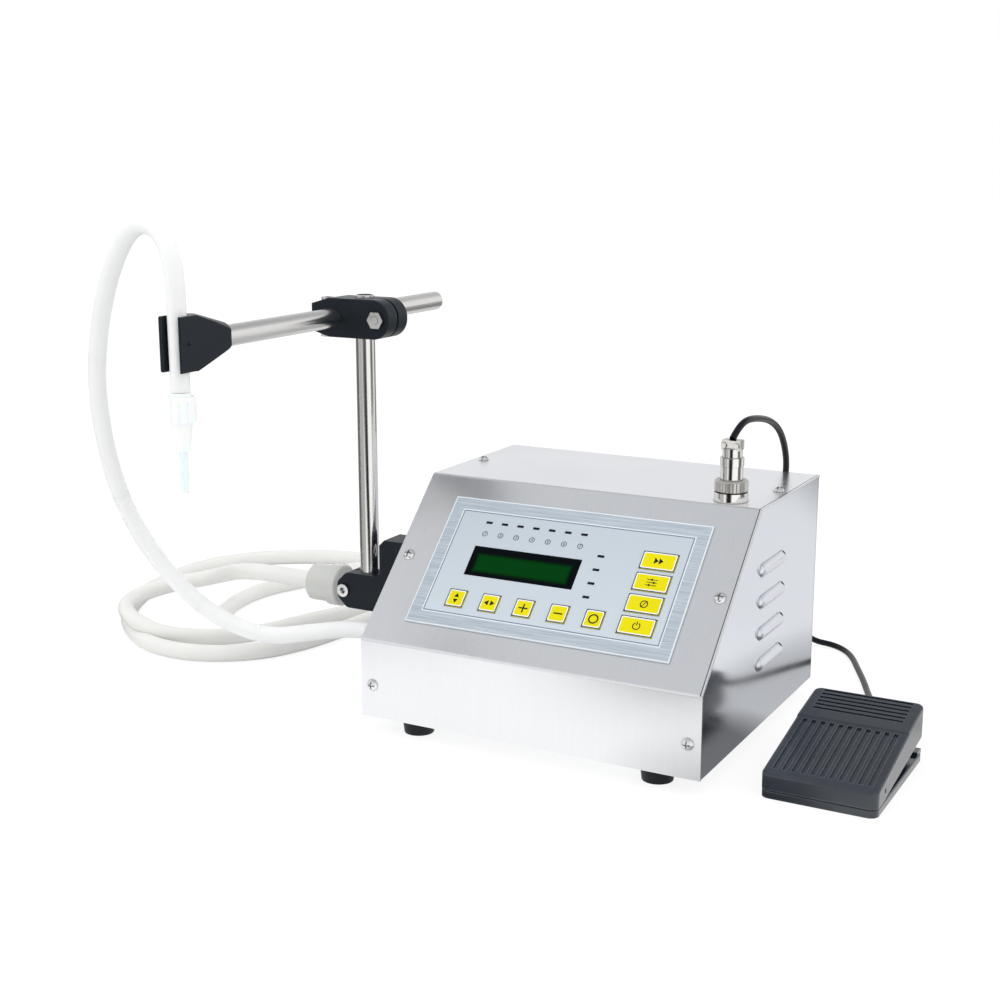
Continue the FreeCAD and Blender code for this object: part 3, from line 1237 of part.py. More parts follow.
def make_connector():
    """The round socket on the top sheet and the cable's plug screwed onto it."""
    x, y, top = PLUG_X, S.plug_y, S.height
    socket = cut("socket_with_bore", fuse("socket_solid", [
        rod("socket_flange", S.socket_radius, S.socket_height, (x, y, top)),
        rod("socket_barrel", S.socket_thread, S.sheet + 12, (x, y, top - S.sheet - 8)),
    ]), [rod("socket_bore", S.socket_thread - 1.6, 20, (x, y, top - S.sheet - 4))])
    blank = prism("socket_nut_blank", 6, S.socket_thread * 1.3, 3, (0, 0, 0))
    put(blank, (x, y, top - S.sheet - 3 - S.rest_gap), (0, 0, 1), 30)
    nut = cut("socket_nut", blank,
              [rod("socket_nut_bore", S.socket_thread + S.rest_gap / 2, 9,
                   (x, y, top - S.sheet - 6))])
    finish(group("pedal_socket", [socket, nut]))
    low = top + S.socket_height + S.rest_gap
    draft = Draft("ring_body")
    inner = S.barrel_radius + S.rest_gap
    draft.revolve("xz", [
        (inner, low), (S.ring_radius - 0.8, low), (S.ring_radius, low + 0.8),
        (S.ring_radius, low + S.ring_height - 0.8), (S.ring_radius - 0.8, low + S.ring_height),
        (inner, low + S.ring_height)])
    DOC.recompute()
    notch = draft.pocket("xy", low + 0.9, S.ring_height - 1.8, [[
        (S.ring_radius - S.knurl_depth, 0), (S.ring_radius + 0.3, -0.7),
        (S.ring_radius + 0.3, 0.7)]])
    pattern = draft.body.newObject("PartDesign::PolarPattern", "ring_knurl")
    pattern.Originals = [notch]
    pattern.Axis = (notch.Profile[0], ["N_Axis"])
    pattern.Angle = 360
    pattern.Occurrences = COUNT["knurl_count"]
    draft.body.Tip = pattern
    put(draft.body, (x, y, 0))
    finish(group("plug_ring", [draft.body]))
    barrel = Draft("barrel_body")
    mid = low + S.barrel_height - S.collar_height
    high = low + S.barrel_height
    neck = high + S.neck_height
    end = neck + S.saddle_height
    hole = S.cable_radius + S.hose_gap
    barrel.revolve("xz", [
        (hole, low + 2), (S.barrel_radius, low + 2), (S.barrel_radius, mid),
        (S.barrel_collar, mid), (S.barrel_collar, high), (S.neck_radius, high),
        (S.neck_radius, neck + 1), (hole, neck + 1)])
    put(barrel.body, (x, y, 0))
    wide = S.saddle_width
    saddle = cut("cable_saddle", box("saddle_block", (wide, wide * 0.72, end - neck),
                                     (x - wide / 2, y - wide * 0.36, neck)),
                 [rod("saddle_bore", hole, S.saddle_height * 3, (x, y, neck - 5)),
                  box("saddle_split", (wide * 2, 0.8, S.saddle_height * 3),
                      (x - wide, y - 0.4, neck + 1.01))])
    bolts = [rod(f"saddle_head_{i}", 1.6, 1.4, (x + side * wide * 0.34, y - wide * 0.36 - 1.3,
                                               (neck + end) / 2), "y")
             for i, side in enumerate((-1, 1))]
    finish(fuse("plug_body", [barrel.body, saddle] + bolts))
    return end


# Foot pedal, drawn from its own front left corner on the floor, then moved to its place

def finish_pedal(thing, label=None):
    """Moves a sub-part from the pedal's frame to the machine's frame."""
    thing = whole(thing, label)
    return put(thing, (S.cabinet_x + S.pedal_x, S.cabinet_y + S.pedal_y, 0))


def plan_outline(inset):
    """The pedal's rectangle in plan, inset on every side."""
    half = S.pedal_width / 2 - inset
    return [(-half, inset), (half, inset), (half, S.pedal_length - inset),
            (-half, S.pedal_length - inset)]


def make_pedal():
    """The foot pedal: base tray, ribbed treadle, pin, return spring, switch and cable relief."""
    half = S.pedal_width / 2
    length = S.pedal_length
    base = Draft("pedal_tray")
    base.pad("xy", 0, S.pedal_base, [plan_outline(0)])
    base.round(S.pedal_corner, lambda e: along(e, 2))
    base.round(0.9, lambda e: near(e, 2, S.pedal_base) and not along(e, 2))
    inner = S.treadle_wall + S.treadle_gap
    ear_x = half - inner - S.ear_thick
    ear_top = S.hinge_z + S.hinge_pin + 1.6
    ears = [cut(f"pedal_ear_{i}", box(f"pedal_ear_blank_{i}", (S.ear_thick, 8.0, ear_top - 3),
                                      (x, S.hinge_y - 4, 3)),
                [rod(f"pedal_ear_bore_{i}", S.hinge_pin + S.slide_fit, S.ear_thick * 3,
                     (x - S.ear_thick, S.hinge_y, S.hinge_z), "x")])
            for i, x in enumerate((ear_x, -ear_x - S.ear_thick))]
    cup = box("switch_seat", (S.switch_width, S.switch_deep, 2.0),
              (-S.switch_width / 2 - 8, length * 0.56, S.pedal_base - 0.5))
    post = rod("spring_post", S.spring_radius - S.spring_wire * 2 - 0.4, 6.5,
               (half * 0.42, length * 0.62, S.pedal_base - 0.5))
    wall_y = length - S.treadle_wall - 2 * S.treadle_gap - S.wall_thick
    wall = cut("rear_wall", box("rear_wall_blank", (half * 1.5, S.wall_thick, S.entry_z + 1.5),
                                (-half * 0.75, wall_y, 3.0)),
               [rod("cable_bore", S.relief_neck + S.rest_gap, 20, (0, length - 14, S.entry_z), "y")])
    lip = fuse("rear_lips", [
        box("rear_lip_right", (4.5, 8.0, 2.6), (half - 5.2, length - 9.5, S.pedal_base - 0.5)),
        box("rear_lip_left", (4.5, 8.0, 2.6), (0.7 - half, length - 9.5, S.pedal_base - 0.5))])
    finish_pedal(fuse("pedal_base", [base.body] + ears + [cup, post, wall, lip]))
    make_treadle()
    pin_half = half - S.treadle_gap
    finish_pedal(rod("pedal_pin", S.hinge_pin, pin_half * 2,
                     (-pin_half, S.hinge_y, S.hinge_z), "x"))
    switch_top = S.pedal_base + 1.5 + S.switch_height
    switch = fuse("pedal_switch", [
        box("switch_case", (S.switch_width, S.switch_deep, S.switch_height),
            (-S.switch_width / 2 - 8, length * 0.56, S.pedal_base + 1.5)),
        box("switch_button", (3.0, 2.6, 1.6), (-S.switch_width / 2 - 4,
                                               length * 0.56 + 2.2, switch_top - 0.5))])
    finish_pedal(switch)
    relief = cut("cable_relief", fuse("relief_solid", [
        cone("relief_cone", S.relief_radius, S.relief_tip, S.relief_length,
             (0, length + 0.1, S.entry_z), "y"),
        rod("relief_collar", S.relief_neck, length - wall_y + 1, (0, wall_y - 0.5, S.entry_z), "y"),
        rod("relief_head", S.relief_radius, 2.0, (0, wall_y - 2 - S.rest_gap, S.entry_z), "y"),
    ]), [rod("relief_bore", S.cable_radius + S.hose_gap, 60, (0, length - 20, S.entry_z), "y")])
    finish_pedal(relief)
    make_spring(half * 0.42, length * 0.62)


def treadle_side(inset):
    """The treadle's side view: front lip, long slope, shallow step and rear plateau."""
    length = S.pedal_length
    step_y = length - S.plateau
    low = S.pedal_base + S.treadle_gap
    rear = S.pedal_rear
    front = S.pedal_base + S.pedal_front
    step_z = rear - S.plateau_drop
    return [
        (inset, low), (inset, front - inset * 0.6),
        (step_y - S.step_run, step_z - S.step_drop - inset),
        (step_y, step_z - inset), (length - inset, rear - inset),
        (length - inset, low + S.skirt_rear), (S.hinge_y + 5, low),
    ]


def make_treadle():
    """The moulded treadle, a hollow shell with grooves for grip and a pierced skirt."""
    half = S.pedal_width / 2
    length = S.pedal_length
    draft = Draft("treadle_shell")
    draft.pad("yz", 0, S.pedal_width, [treadle_side(as_size(0))], middle=True)
    low = S.pedal_base + S.treadle_gap
    draft.round(S.pedal_corner * 0.9, lambda e: along(e, 2) and e.Length > 4)
    top_z = S.pedal_base + S.pedal_front - 0.5
    draft.round(1.6, lambda e: e.CenterOfMass.z > float(top_z) and (
        abs(abs(e.CenterOfMass.x) - float(half)) < 6.5 or near(e, 1, 0, 3.0)
        or near(e, 1, length, 3.0)) and not along(e, 2))
    hollow = treadle_side(S.treadle_wall)
    hollow[0] = (S.treadle_wall, low - 2)
    hollow[-1] = (S.hinge_y + 5, low - 2)
    hollow[-2] = (length - S.treadle_wall, low - 2)
    draft.pocket("yz", 0, S.pedal_width - 2 * S.treadle_wall, [hollow], middle=True)
    slope_low = S.pedal_base + S.pedal_front
    step_y = length - S.plateau
    step_z = S.pedal_rear - S.plateau_drop
    slope_high = step_z - S.step_drop
    slope_run = step_y - S.step_run
    rise = angle_of(slope_high - slope_low, slope_run)
    slots = []
    first = -(COUNT["rib_count"] - 1) / 2
    for i in range(COUNT["rib_count"]):
        slots.append(box(f"rib_groove_{i}", (S.rib_groove, slope_run / cosine(rise) - S.rib_front
                                             - S.rib_back, S.groove_depth * 2),
                         (S.rib_pitch * (first + i) - S.rib_groove / 2, S.rib_front,
                          -S.groove_depth)))
    ribs = group("rib_grooves", slots)
    put(ribs, (0, 0, slope_low), (1, 0, 0), rise)
    plateau_rise = angle_of(S.plateau_drop, S.plateau)
    bars = []
    for i in range(COUNT["bar_count"]):
        bars.append(box(f"bar_groove_{i}", (S.bar_width, S.bar_groove, S.groove_depth * 2),
                        (-S.bar_width / 2, S.bar_front + i * S.bar_pitch, -S.groove_depth)))
    cross = group("bar_grooves", bars)
    put(cross, (0, step_y, step_z), (1, 0, 0), plateau_rise)
    holes = rod("treadle_pin_bore", S.hinge_pin + S.slide_fit, S.pedal_width * 2,
                (-S.pedal_width, S.hinge_y, S.hinge_z), "x")
    drop = (length - S.hinge_y) * sine(S.pedal_press)
    mouth = box("relief_opening", (S.relief_radius * 2 + 5, 12.0,
                                   S.entry_z + S.relief_radius + drop + 0.6),
                (-S.relief_radius - 2.5, length - 6, 0))
    boss = rod("treadle_spring_post", S.spring_radius - S.spring_wire * 2 - 0.4,
               slope_high - S.treadle_wall - S.pedal_base - 11.5,
               (half * 0.42, length * 0.62, S.pedal_base + 11.5))
    shell = cut("treadle_cut", draft.body, [ribs, cross, holes, mouth])
    finish_pedal(fuse("pedal_treadle", [shell, boss]))


def make_spring(x, y):
    """The return spring under the treadle."""
    turns = COUNT["spring_turns"]
    low = float(S.pedal_base) + float(S.spring_wire)
    room = spring_room(float(y)) - float(S.pedal_base) - 2 * float(S.spring_wire) - 0.5
    pitch = room / turns
    radius = float(S.spring_radius - S.spring_wire)
    helix = Part.makeHelix(pitch, room, radius)
    wire = float(S.spring_wire)
    corners = [Vector(radius + wire * math.cos(i * math.pi / 3), 0, wire * math.sin(i * math.pi / 3))
               for i in range(7)]
    profile = Part.makePolygon(corners)
    thing = feature("pedal_spring", Part.Wire(helix).makePipeShell([profile], True, True))
    put(thing, (S.cabinet_x + S.pedal_x + x, S.cabinet_y + S.pedal_y + y, low + 0.15))
    DONE.append(thing)


def spring_room(y):
    """The height of the treadle's underside over the floor at a distance from its front."""
    step_y = float(S.pedal_length - S.plateau)
    low = float(S.pedal_base + S.pedal_front)
    high = float(S.pedal_rear - S.plateau_drop - S.step_drop)
    share = min(1.0, y / (step_y - float(S.step_run)))
    return low + (high - low) * share - float(S.treadle_wall) * 1.25


# Pump, motor and power supply

def gear_outline(teeth, module, clearance, phase):
    """A closed gear profile with arcs at tip and root and bulged flanks."""
    pitch_r = teeth * module / 2
    tip = pitch_r + module * 0.95 - clearance
    root = pitch_r - module * 1.15
    step = 2 * math.pi / teeth

    def at(radius, angle):
        return Vector(radius * math.cos(angle), radius * math.sin(angle), 0)

    edges = []
    for i in range(teeth):
        mid = phase + i * step
        tip_half, root_half = step * 0.115, step * 0.315
        pitch_half = step * 0.245 - clearance / pitch_r / 2
        edges.append(Part.Arc(at(root, mid - root_half), at(pitch_r, mid - pitch_half),
                              at(tip, mid - tip_half)).toShape())
        edges.append(Part.Arc(at(tip, mid - tip_half), at(tip, mid),
                              at(tip, mid + tip_half)).toShape())
        edges.append(Part.Arc(at(tip, mid + tip_half), at(pitch_r, mid + pitch_half),
                              at(root, mid + root_half)).toShape())
        edges.append(Part.Arc(at(root, mid + root_half), at(root, mid + step / 2),
                              at(root, mid + step - root_half)).toShape())
    return Part.Wire(edges)


def make_pump():
    """The gear pump, its motor and the bracket that carries both."""
    teeth, module = COUNT["gear_teeth"], float(S.gear_module)
    clear = float(S.gear_clearance)
    centre = teeth * module + float(S.centre_extra)
    width = float(S.gear_width)
    x, y, z = float(S.pump_x), float(S.pump_y), float(S.pump_z)
    shaft = float(S.shaft_radius)
    tip = teeth * module / 2 + module * 0.95
    case_w = 2 * (tip + float(S.pump_wall))
    front = y
    chamber_r = tip + clear

    def on_axis(shape, dz, dy):
        shape.rotate(Vector(0, 0, 0), Vector(1, 0, 0), -90)
        shape.translate(Vector(x, dy, z + dz))
        return shape

    plate = float(S.plate_thick)
    reach = float(S.lantern_length) - 1.5
    for name, dz, phase, tail in (("drive_gear", 0, math.pi / 2, reach),
                                  ("idler_gear", centre, math.pi / 2 + math.pi / teeth, 0)):
        blank = Part.Face(gear_outline(teeth, module, clear, phase)).extrude(
            Vector(0, 0, width - 2 * clear))
        blank.translate(Vector(0, 0, clear))
        stub = plate - 1.5
        spindle = Part.makeCylinder(shaft, width + 2 * stub + tail,
                                    Vector(0, 0, -stub))
        feature_ = feature(name, on_axis(blank.fuse(spindle).removeSplitter(), dz, front))
        finish(feature_)
    block = Part.makeBox(case_w, width, case_w + centre,
                         Vector(x - case_w / 2, front, z - case_w / 2))
    chambers = [on_axis(Part.makeCylinder(chamber_r, width), dz, front) for dz in (0, centre)]
    body = block.cut(chambers[0]).cut(chambers[1])
    for side in (-1, 1):
        body = body.cut(Part.makeCylinder(float(S.port_radius), case_w, Vector(
            x, front + width / 2, z + centre / 2), Vector(side, 0, 0)))
    plates = [body]
    for dy in (-plate, width):
        piece = Part.makeBox(case_w, plate, case_w + centre,
                             Vector(x - case_w / 2, front + dy, z - case_w / 2))
        for dz in (0, centre):
            hole = Part.makeCylinder(shaft + float(S.slide_fit), plate - 1.0)
            deep = front - plate + 1.0 if dy < 0 else front + width
            if dy > 0 and dz == 0:
                hole = Part.makeCylinder(shaft + float(S.slide_fit), plate * 2)
            piece = piece.cut(on_axis(hole, dz, deep))
        plates.append(piece)
    finish(feature("pump_housing", Part.makeCompound(plates)))
    lantern_y = front + width + plate
    lantern = Part.makeCylinder(case_w / 2 - 1, float(S.lantern_length))
    hollow = Part.makeCylinder(case_w / 2 - 3.5, float(S.lantern_length) * 2,
                               Vector(0, 0, -5))
    motor = Part.makeCylinder(float(S.motor_radius), float(S.motor_length) - 20.0)
    boss = Part.makeCylinder(float(S.motor_radius) * 0.3, 3,
                             Vector(0, 0, float(S.motor_length) - 20.0))
    motor_y = lantern_y + float(S.lantern_length)
    lantern = on_axis(lantern.cut(hollow), 0, lantern_y)
    finish(feature("pump_motor", on_axis(motor.fuse(boss), 0, motor_y)))
    low = float(S.sheet)
    mount_top = z - case_w / 2
    mount = Part.makeBox(case_w, width + 2 * plate, float(S.mount_thick),
                         Vector(x - case_w / 2, front - plate, mount_top
                                - float(S.mount_thick)))
    legs = [Part.makeBox(float(S.mount_thick), width + 2 * plate,
                         mount_top - float(S.mount_thick) / 2 - low,
                         Vector(x + side, front - plate, low))
            for side in (-case_w / 2, case_w / 2 - float(S.mount_thick))]
    stand = mount.fuse(legs[0]).fuse(legs[1]).removeSplitter()
    finish(feature("pump_mount", Part.makeCompound([stand, lantern])))
    supply = box("supply_case", (S.supply_width, S.supply_length, S.supply_height),
                 (S.supply_x - S.supply_width / 2, S.supply_y - S.supply_length / 2,
                  S.sheet + S.supply_lift))
    feet = [rod(f"supply_foot_{i}", 3, S.supply_lift + 0.01,
                (S.supply_x + dx * (S.supply_width / 2 - 6),
                 S.supply_y + dy * (S.supply_length / 2 - 6), S.sheet))
            for i, (dx, dy) in enumerate(((-1, -1), (1, -1), (1, 1), (-1, 1)))]
    finish(fuse("power_supply", [supply] + feet))


make_cover()
make_side_panels()
make_base_and_back()
make_feet()
make_screws()
make_keypad()
make_back_fittings()
make_bracket()
make_bracket_screws()
make_rods()
make_cross_clamp()
make_clamp_bolts()
make_holder()
make_nozzle()
finish(group("hose_fittings", bulkhead("outlet_fitting", S.outlet_y, S.outlet_z, None)
             + bulkhead("inlet_fitting", S.suction_y, S.suction_z, S.fitting_reach)))
make_strainer()
make_hoses()
make_connector()
make_pedal()
make_pump()
DOC.recompute()

for thing in DOC.Objects:
    if "Invalid" in thing.State or "Error" in thing.State:
        raise RuntimeError(f"{thing.Name} did not build: {thing.State}")
if len(DONE) > 60:
    raise RuntimeError(f"{len(DONE)} sub-parts are more than 60")
for thing in DONE:
    if thing.Shape.isNull() or not thing.Shape.isValid():
        raise RuntimeError(f"{thing.Label} has no valid shape")
for thing in DONE:
    thing.Shape.exportStep(f"parts/{thing.Label}.step")
print(len(DONE), "sub-parts written")
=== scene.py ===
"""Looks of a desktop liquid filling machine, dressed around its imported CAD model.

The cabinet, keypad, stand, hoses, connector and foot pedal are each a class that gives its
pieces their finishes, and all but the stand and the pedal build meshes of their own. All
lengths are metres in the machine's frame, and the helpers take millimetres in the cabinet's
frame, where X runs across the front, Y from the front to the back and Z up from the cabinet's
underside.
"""

import logging
import math
from dataclasses import dataclass, field
from enum import Enum
from typing import Callable, Iterable, Sequence

import bmesh
import bpy
from mathutils import Matrix, Vector


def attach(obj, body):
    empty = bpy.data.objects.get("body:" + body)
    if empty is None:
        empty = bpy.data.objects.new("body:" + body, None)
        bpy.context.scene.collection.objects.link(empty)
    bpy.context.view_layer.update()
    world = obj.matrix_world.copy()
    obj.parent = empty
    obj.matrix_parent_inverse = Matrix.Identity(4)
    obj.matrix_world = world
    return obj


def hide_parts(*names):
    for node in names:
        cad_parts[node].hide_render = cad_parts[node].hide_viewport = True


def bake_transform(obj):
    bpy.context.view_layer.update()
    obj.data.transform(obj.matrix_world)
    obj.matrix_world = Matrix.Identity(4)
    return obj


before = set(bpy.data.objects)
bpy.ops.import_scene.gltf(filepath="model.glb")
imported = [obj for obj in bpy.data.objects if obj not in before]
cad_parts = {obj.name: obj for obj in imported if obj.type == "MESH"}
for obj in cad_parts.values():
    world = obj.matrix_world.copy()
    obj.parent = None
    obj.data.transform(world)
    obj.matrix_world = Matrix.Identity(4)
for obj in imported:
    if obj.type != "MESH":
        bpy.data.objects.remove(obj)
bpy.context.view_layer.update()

LOG = logging.getLogger("filling_machine")

MM_PER_METRE = 1000.0

Colour = tuple[float, float, float]
Point = tuple[float, float, float]
Outline = Sequence[tuple[float, float]]
Socket = bpy.types.NodeSocket

RECESS_SHADE_TONE: Colour = (0.03, 0.032, 0.036)
GRAZING_SHADE_TONE: Colour = (0.10, 0.10, 0.105)
DUST_TONE: Colour = (0.55, 0.56, 0.57)
HOSE_EDGE_SHADE_TONE: Colour = (0.30, 0.31, 0.31)
HOSE_DUST_TONE: Colour = (0.80, 0.81, 0.80)
LIGHT_LINE_AND_HIGHLIGHT_TONE: Colour = (0.80, 0.84, 0.88)


# Frames and lengths

@dataclass(frozen=True)
class CabinetFrame:
    """Where the cabinet's frame lies in the machine's frame, in millimetres and degrees."""

    x: float = 0.8
    y: float = -48.0
    z: float = 10.0
    front_height: float = 50.0
    slope_rise: float = 88.0
    slope_run: float = 90.0

    def point(self, x: float, y: float, z: float) -> Vector:
        """A point of the cabinet's frame, in metres in the machine's frame."""
        return Vector((x + self.x, y + self.y, z + self.z)) / MM_PER_METRE

    @property
    def slope_angle(self) -> float:
        """The keypad face's angle to the level, in radians."""
        return math.atan2(self.slope_rise, self.slope_run)

    def slope_matrix(self) -> Matrix:
        """Takes metres drawn flat (across, along the slope, outwards) to the machine's frame."""
        origin = self.point(0.0, 0.0, self.front_height)
        return Matrix.Translation(origin) @ Matrix.Rotation(self.slope_angle, 4, "X")


CABINET = CabinetFrame()


def mm(*values: float) -> tuple[float, ...]:
    """Millimetres as metres."""
    return tuple(v / MM_PER_METRE for v in values)


def toned(colour: Colour, factor: float, lift: float = 0.0) -> Colour:
    """A colour made darker or lighter, and no brighter than white."""
    return tuple(min(1.0, c * factor + lift) for c in colour)


# Shader node helpers

class Nodes:
    """Short calls for building one node tree."""

    def __init__(self, tree: bpy.types.NodeTree) -> None:
        """Keeps the tree that the calls add to."""
        self.tree = tree

    def add(self, kind: str, **settings: object) -> bpy.types.Node:
        """Adds a node and sets its properties.

        Args:
            kind: The node's type name after "ShaderNode".
            settings: Properties of the node by name.

        Returns:
            The new node.
        """
        node = self.tree.nodes.new("ShaderNode" + kind)
        for name, value in settings.items():
            setattr(node, name, value)
        return node

    def link(self, source: Socket, target: Socket) -> None:
        """Joins an output to an input."""
        self.tree.links.new(source, target)

    def feed(self, target: Socket, value: object) -> None:
        """Sets an input from a number, a tuple or another node's output.

        Args:
            target: The input.
            value: What it is set from.
        """
        if isinstance(value, Socket):
            self.link(value, target)
        else:
            target.default_value = value

    def math(self, operation: str, a: object, b: object = 0.0, clamp: bool = False) -> Socket:
        """One Math node on numbers or sockets.

        Args:
            operation: The node's operation.
            a: Its first number or socket.
            b: Its second number or socket.
            clamp: Whether the result stays between 0 and 1.

        Returns:
            The node's output.
        """
        node = self.add("Math", operation=operation, use_clamp=clamp)
        self.feed(node.inputs[0], a)
        self.feed(node.inputs[1], b)
        return node.outputs[0]

    def mix(self, share: object, low: object, high: object) -> Socket:
        """A colour between two colours.

        Args:
            share: How much of the second colour there is, from 0 to 1.
            low: The first colour.
            high: The second colour.

        Returns:
            The mixed colour.
        """
        node = self.add("Mix", data_type="RGBA", clamp_factor=True)
        self.feed(node.inputs[0], share)
        self.feed(node.inputs[6], rgba(low))
        self.feed(node.inputs[7], rgba(high))
        return node.outputs[2]

    def spread(self, value: object, low: float, high: float, to_low: float = 0.0,
               to_high: float = 1.0) -> Socket:
        """A value moved from one range to another and clamped there.

        Args:
            value: The value.
            low: Where its range starts.
            high: Where its range ends.
            to_low: What the start becomes.
            to_high: What the end becomes.

        Returns:
            The value in its new range.
        """
        node = self.add("MapRange", clamp=True)
        self.feed(node.inputs[0], value)
        for index, number in enumerate((low, high, to_low, to_high), start=1):
            node.inputs[index].default_value = number
        return node.outputs[0]

    def noise(self, vector: object, scale: float, detail: float = 3.0,
              roughness: float = 0.5) -> Socket:
        """The value of a noise texture.

        Args:
            vector: The place that it is read at.
            scale: The texture's scale.
            detail: Its detail.
            roughness: Its roughness.

        Returns:
            The texture's value.
        """
        node = self.add("TexNoise")
        self.feed(node.inputs["Vector"], vector)
        node.inputs["Scale"].default_value = scale
        node.inputs["Detail"].default_value = detail
        node.inputs["Roughness"].default_value = roughness
        return node.outputs["Fac"]

    def place(self) -> Socket:
        """The surface point in the machine's frame at rest, in metres."""
        return self.add("TexCoord").outputs["Object"]

    def distance(self, x: Socket, y: Socket) -> Socket:
        """How far a place lies from where two axes cross."""
        square = self.math("ADD", self.math("MULTIPLY", x, x), self.math("MULTIPLY", y, y))
        return self.math("POWER", square, 0.5)

    def rays(self) -> tuple[Socket, Socket]:
        """What Light Path says of a ray.

        Returns:
            Whether the camera sees it, also through glass, and whether it is glossy.
        """
        path = self.add("LightPath")
        seen = self.math("MAXIMUM", path.outputs["Is Camera Ray"],
                         path.outputs["Is Transmission Ray"])
        return seen, path.outputs["Is Glossy Ray"]

    def mix_shaders(self, share: Socket, first: bpy.types.Node, second: bpy.types.Node,
                    out: bpy.types.Node) -> None:
        """Sends a mixture of two shaders to an output node.

        Args:
            share: How much of the second shader there is.
            first: The first shader.
            second: The second shader.
            out: The output node.
        """
        mixer = self.add("MixShader")
        self.link(share, mixer.inputs[0])
        self.link(first.outputs[0], mixer.inputs[1])
        self.link(second.outputs[0], mixer.inputs[2])
        self.link(mixer.outputs[0], out.inputs["Surface"])

    def parts(self, vector: Socket) -> list[Socket]:
        """The three numbers of a vector.

        Args:
            vector: The vector.

        Returns:
            The outputs for X, Y and Z.
        """
        node = self.add("SeparateXYZ")
        self.link(vector, node.inputs[0])
        return list(node.outputs)


def rgba(value: object) -> object:
    """A three-number colour with its alpha.

    Args:
        value: A colour, a number or a socket.

    Returns:
        The colour with its alpha, or the value as it is where it isn't a colour.
    """
    if isinstance(value, tuple) and len(value) == 3:
        return (*value, 1.0)
    return value


# Shared surface effects

def new_group(name: str, inputs: Iterable[tuple[str, float]],
              outputs: Iterable[str]) -> tuple[bpy.types.NodeTree, Nodes, dict, dict]:
    """Starts a shader node group with plain number sockets.

    Args:
        name: The group's name.
        inputs: Each input's name and default.
        outputs: Each output's name.

    Returns:
        The tree, its node helper, the inputs by name and the outputs by name.
    """
    tree = bpy.data.node_groups.new(name, "ShaderNodeTree")
    for label, default in inputs:
        socket = tree.interface.new_socket(label, in_out="INPUT", socket_type="NodeSocketFloat")
        socket.default_value = default
    for label in outputs:
        tree.interface.new_socket(label, in_out="OUTPUT", socket_type="NodeSocketFloat")
    nodes = Nodes(tree)
    entry = tree.nodes.new("NodeGroupInput")
    leave = tree.nodes.new("NodeGroupOutput")
    named_in = {s.name: s for s in entry.outputs if s.name}
    named_out = {s.name: s for s in leave.inputs if s.name}
    return tree, nodes, named_in, named_out


def rolled_grain_group() -> bpy.types.NodeTree:
    """Brushed sheet: fine streaks whose stretch along each axis is set by the material.

    Returns:
        The node group.
    """
    tree, n, given, out = new_group(
        "rolled_grain", (("Along X", 60.0), ("Along Y", 60.0), ("Along Z", 60.0)),
        ("Streak", "Cloud"))
    x, y, z = n.parts(n.place())
    joined = n.add("CombineXYZ")
    for index, (axis, scale) in enumerate(((x, "Along X"), (y, "Along Y"), (z, "Along Z"))):
        n.link(n.math("MULTIPLY", axis, given[scale]), joined.inputs[index])
    fine = n.noise(joined.outputs[0], 1.0, 4.0, 0.65)
    broad = n.noise(joined.outputs[0], 0.22, 2.0, 0.5)
    mixed = n.math("ADD", n.math("MULTIPLY", fine, 0.72), n.math("MULTIPLY", broad, 0.28))
    n.link(n.spread(mixed, 0.3, 0.7), out["Streak"])
    n.link(n.spread(n.noise(n.place(), 14.0, 2.0, 0.5), 0.3, 0.7), out["Cloud"])
    return tree


def moulded_grain_group() -> bpy.types.NodeTree:
    """Spark-eroded mould texture: a fine pebble with slow changes of tone.

    Returns:
        The node group.
    """
    tree, n, given, out = new_group("moulded_grain", (("Grain", 2600.0),), ("Pebble", "Tone"))
    scaled = n.add("VectorMath", operation="SCALE")
    n.link(n.place(), scaled.inputs[0])
    n.link(given["Grain"], scaled.inputs[3])
    cells = n.add("TexVoronoi", feature="SMOOTH_F1")
    n.link(scaled.outputs[0], cells.inputs["Vector"])
    cells.inputs["Scale"].default_value = 1.0
    soft = n.noise(scaled.outputs[0], 1.7, 3.0, 0.6)
    n.link(n.math("ADD", n.math("MULTIPLY", cells.outputs["Distance"], 0.6),
                  n.math("MULTIPLY", soft, 0.5)), out["Pebble"])
    n.link(n.spread(n.noise(n.place(), 45.0, 4.0, 0.6), 0.3, 0.7), out["Tone"])
    return tree


def edge_wear_and_highlight_group() -> bpy.types.NodeTree:
    """Where a corner is lighter, partly from edge wear and partly as a painted highlight: near an
    edge, broken up by noise.

    Returns:
        The node group.
    """
    tree, n, given, out = new_group("edge_rub", (("Width", 0.0005),), ("Rub",))
    bevel = n.add("Bevel", samples=4)
    n.link(given["Width"], bevel.inputs["Radius"])
    facing = n.add("VectorMath", operation="DOT_PRODUCT")
    n.link(bevel.outputs[0], facing.inputs[0])
    n.link(n.add("NewGeometry").outputs["Normal"], facing.inputs[1])
    edge = n.math("SUBTRACT", 1.0, facing.outputs["Value"], clamp=True)
    broken = n.spread(n.noise(n.place(), 420.0, 3.0, 0.7), 0.35, 0.65, 0.35, 1.0)
    n.link(n.math("MULTIPLY", n.math("MULTIPLY", edge, 5.0, clamp=True), broken, clamp=True),
           out["Rub"])
    return tree


def settled_dust_group() -> bpy.types.NodeTree:
    """A thin film of dust on what faces up, thicker in patches.

    Returns:
        The node group.
    """
    tree, n, given, out = new_group("settled_dust", (("Amount", 0.1),), ("Film",))
    up = n.parts(n.add("NewGeometry").outputs["Normal"])[2]
    patches = n.spread(n.noise(n.place(), 60.0, 4.0, 0.6), 0.35, 0.7)
    film = n.math("MULTIPLY", n.spread(up, 0.3, 1.0), patches)
    n.link(n.math("MULTIPLY", film, given["Amount"], clamp=True), out["Film"])
    return tree


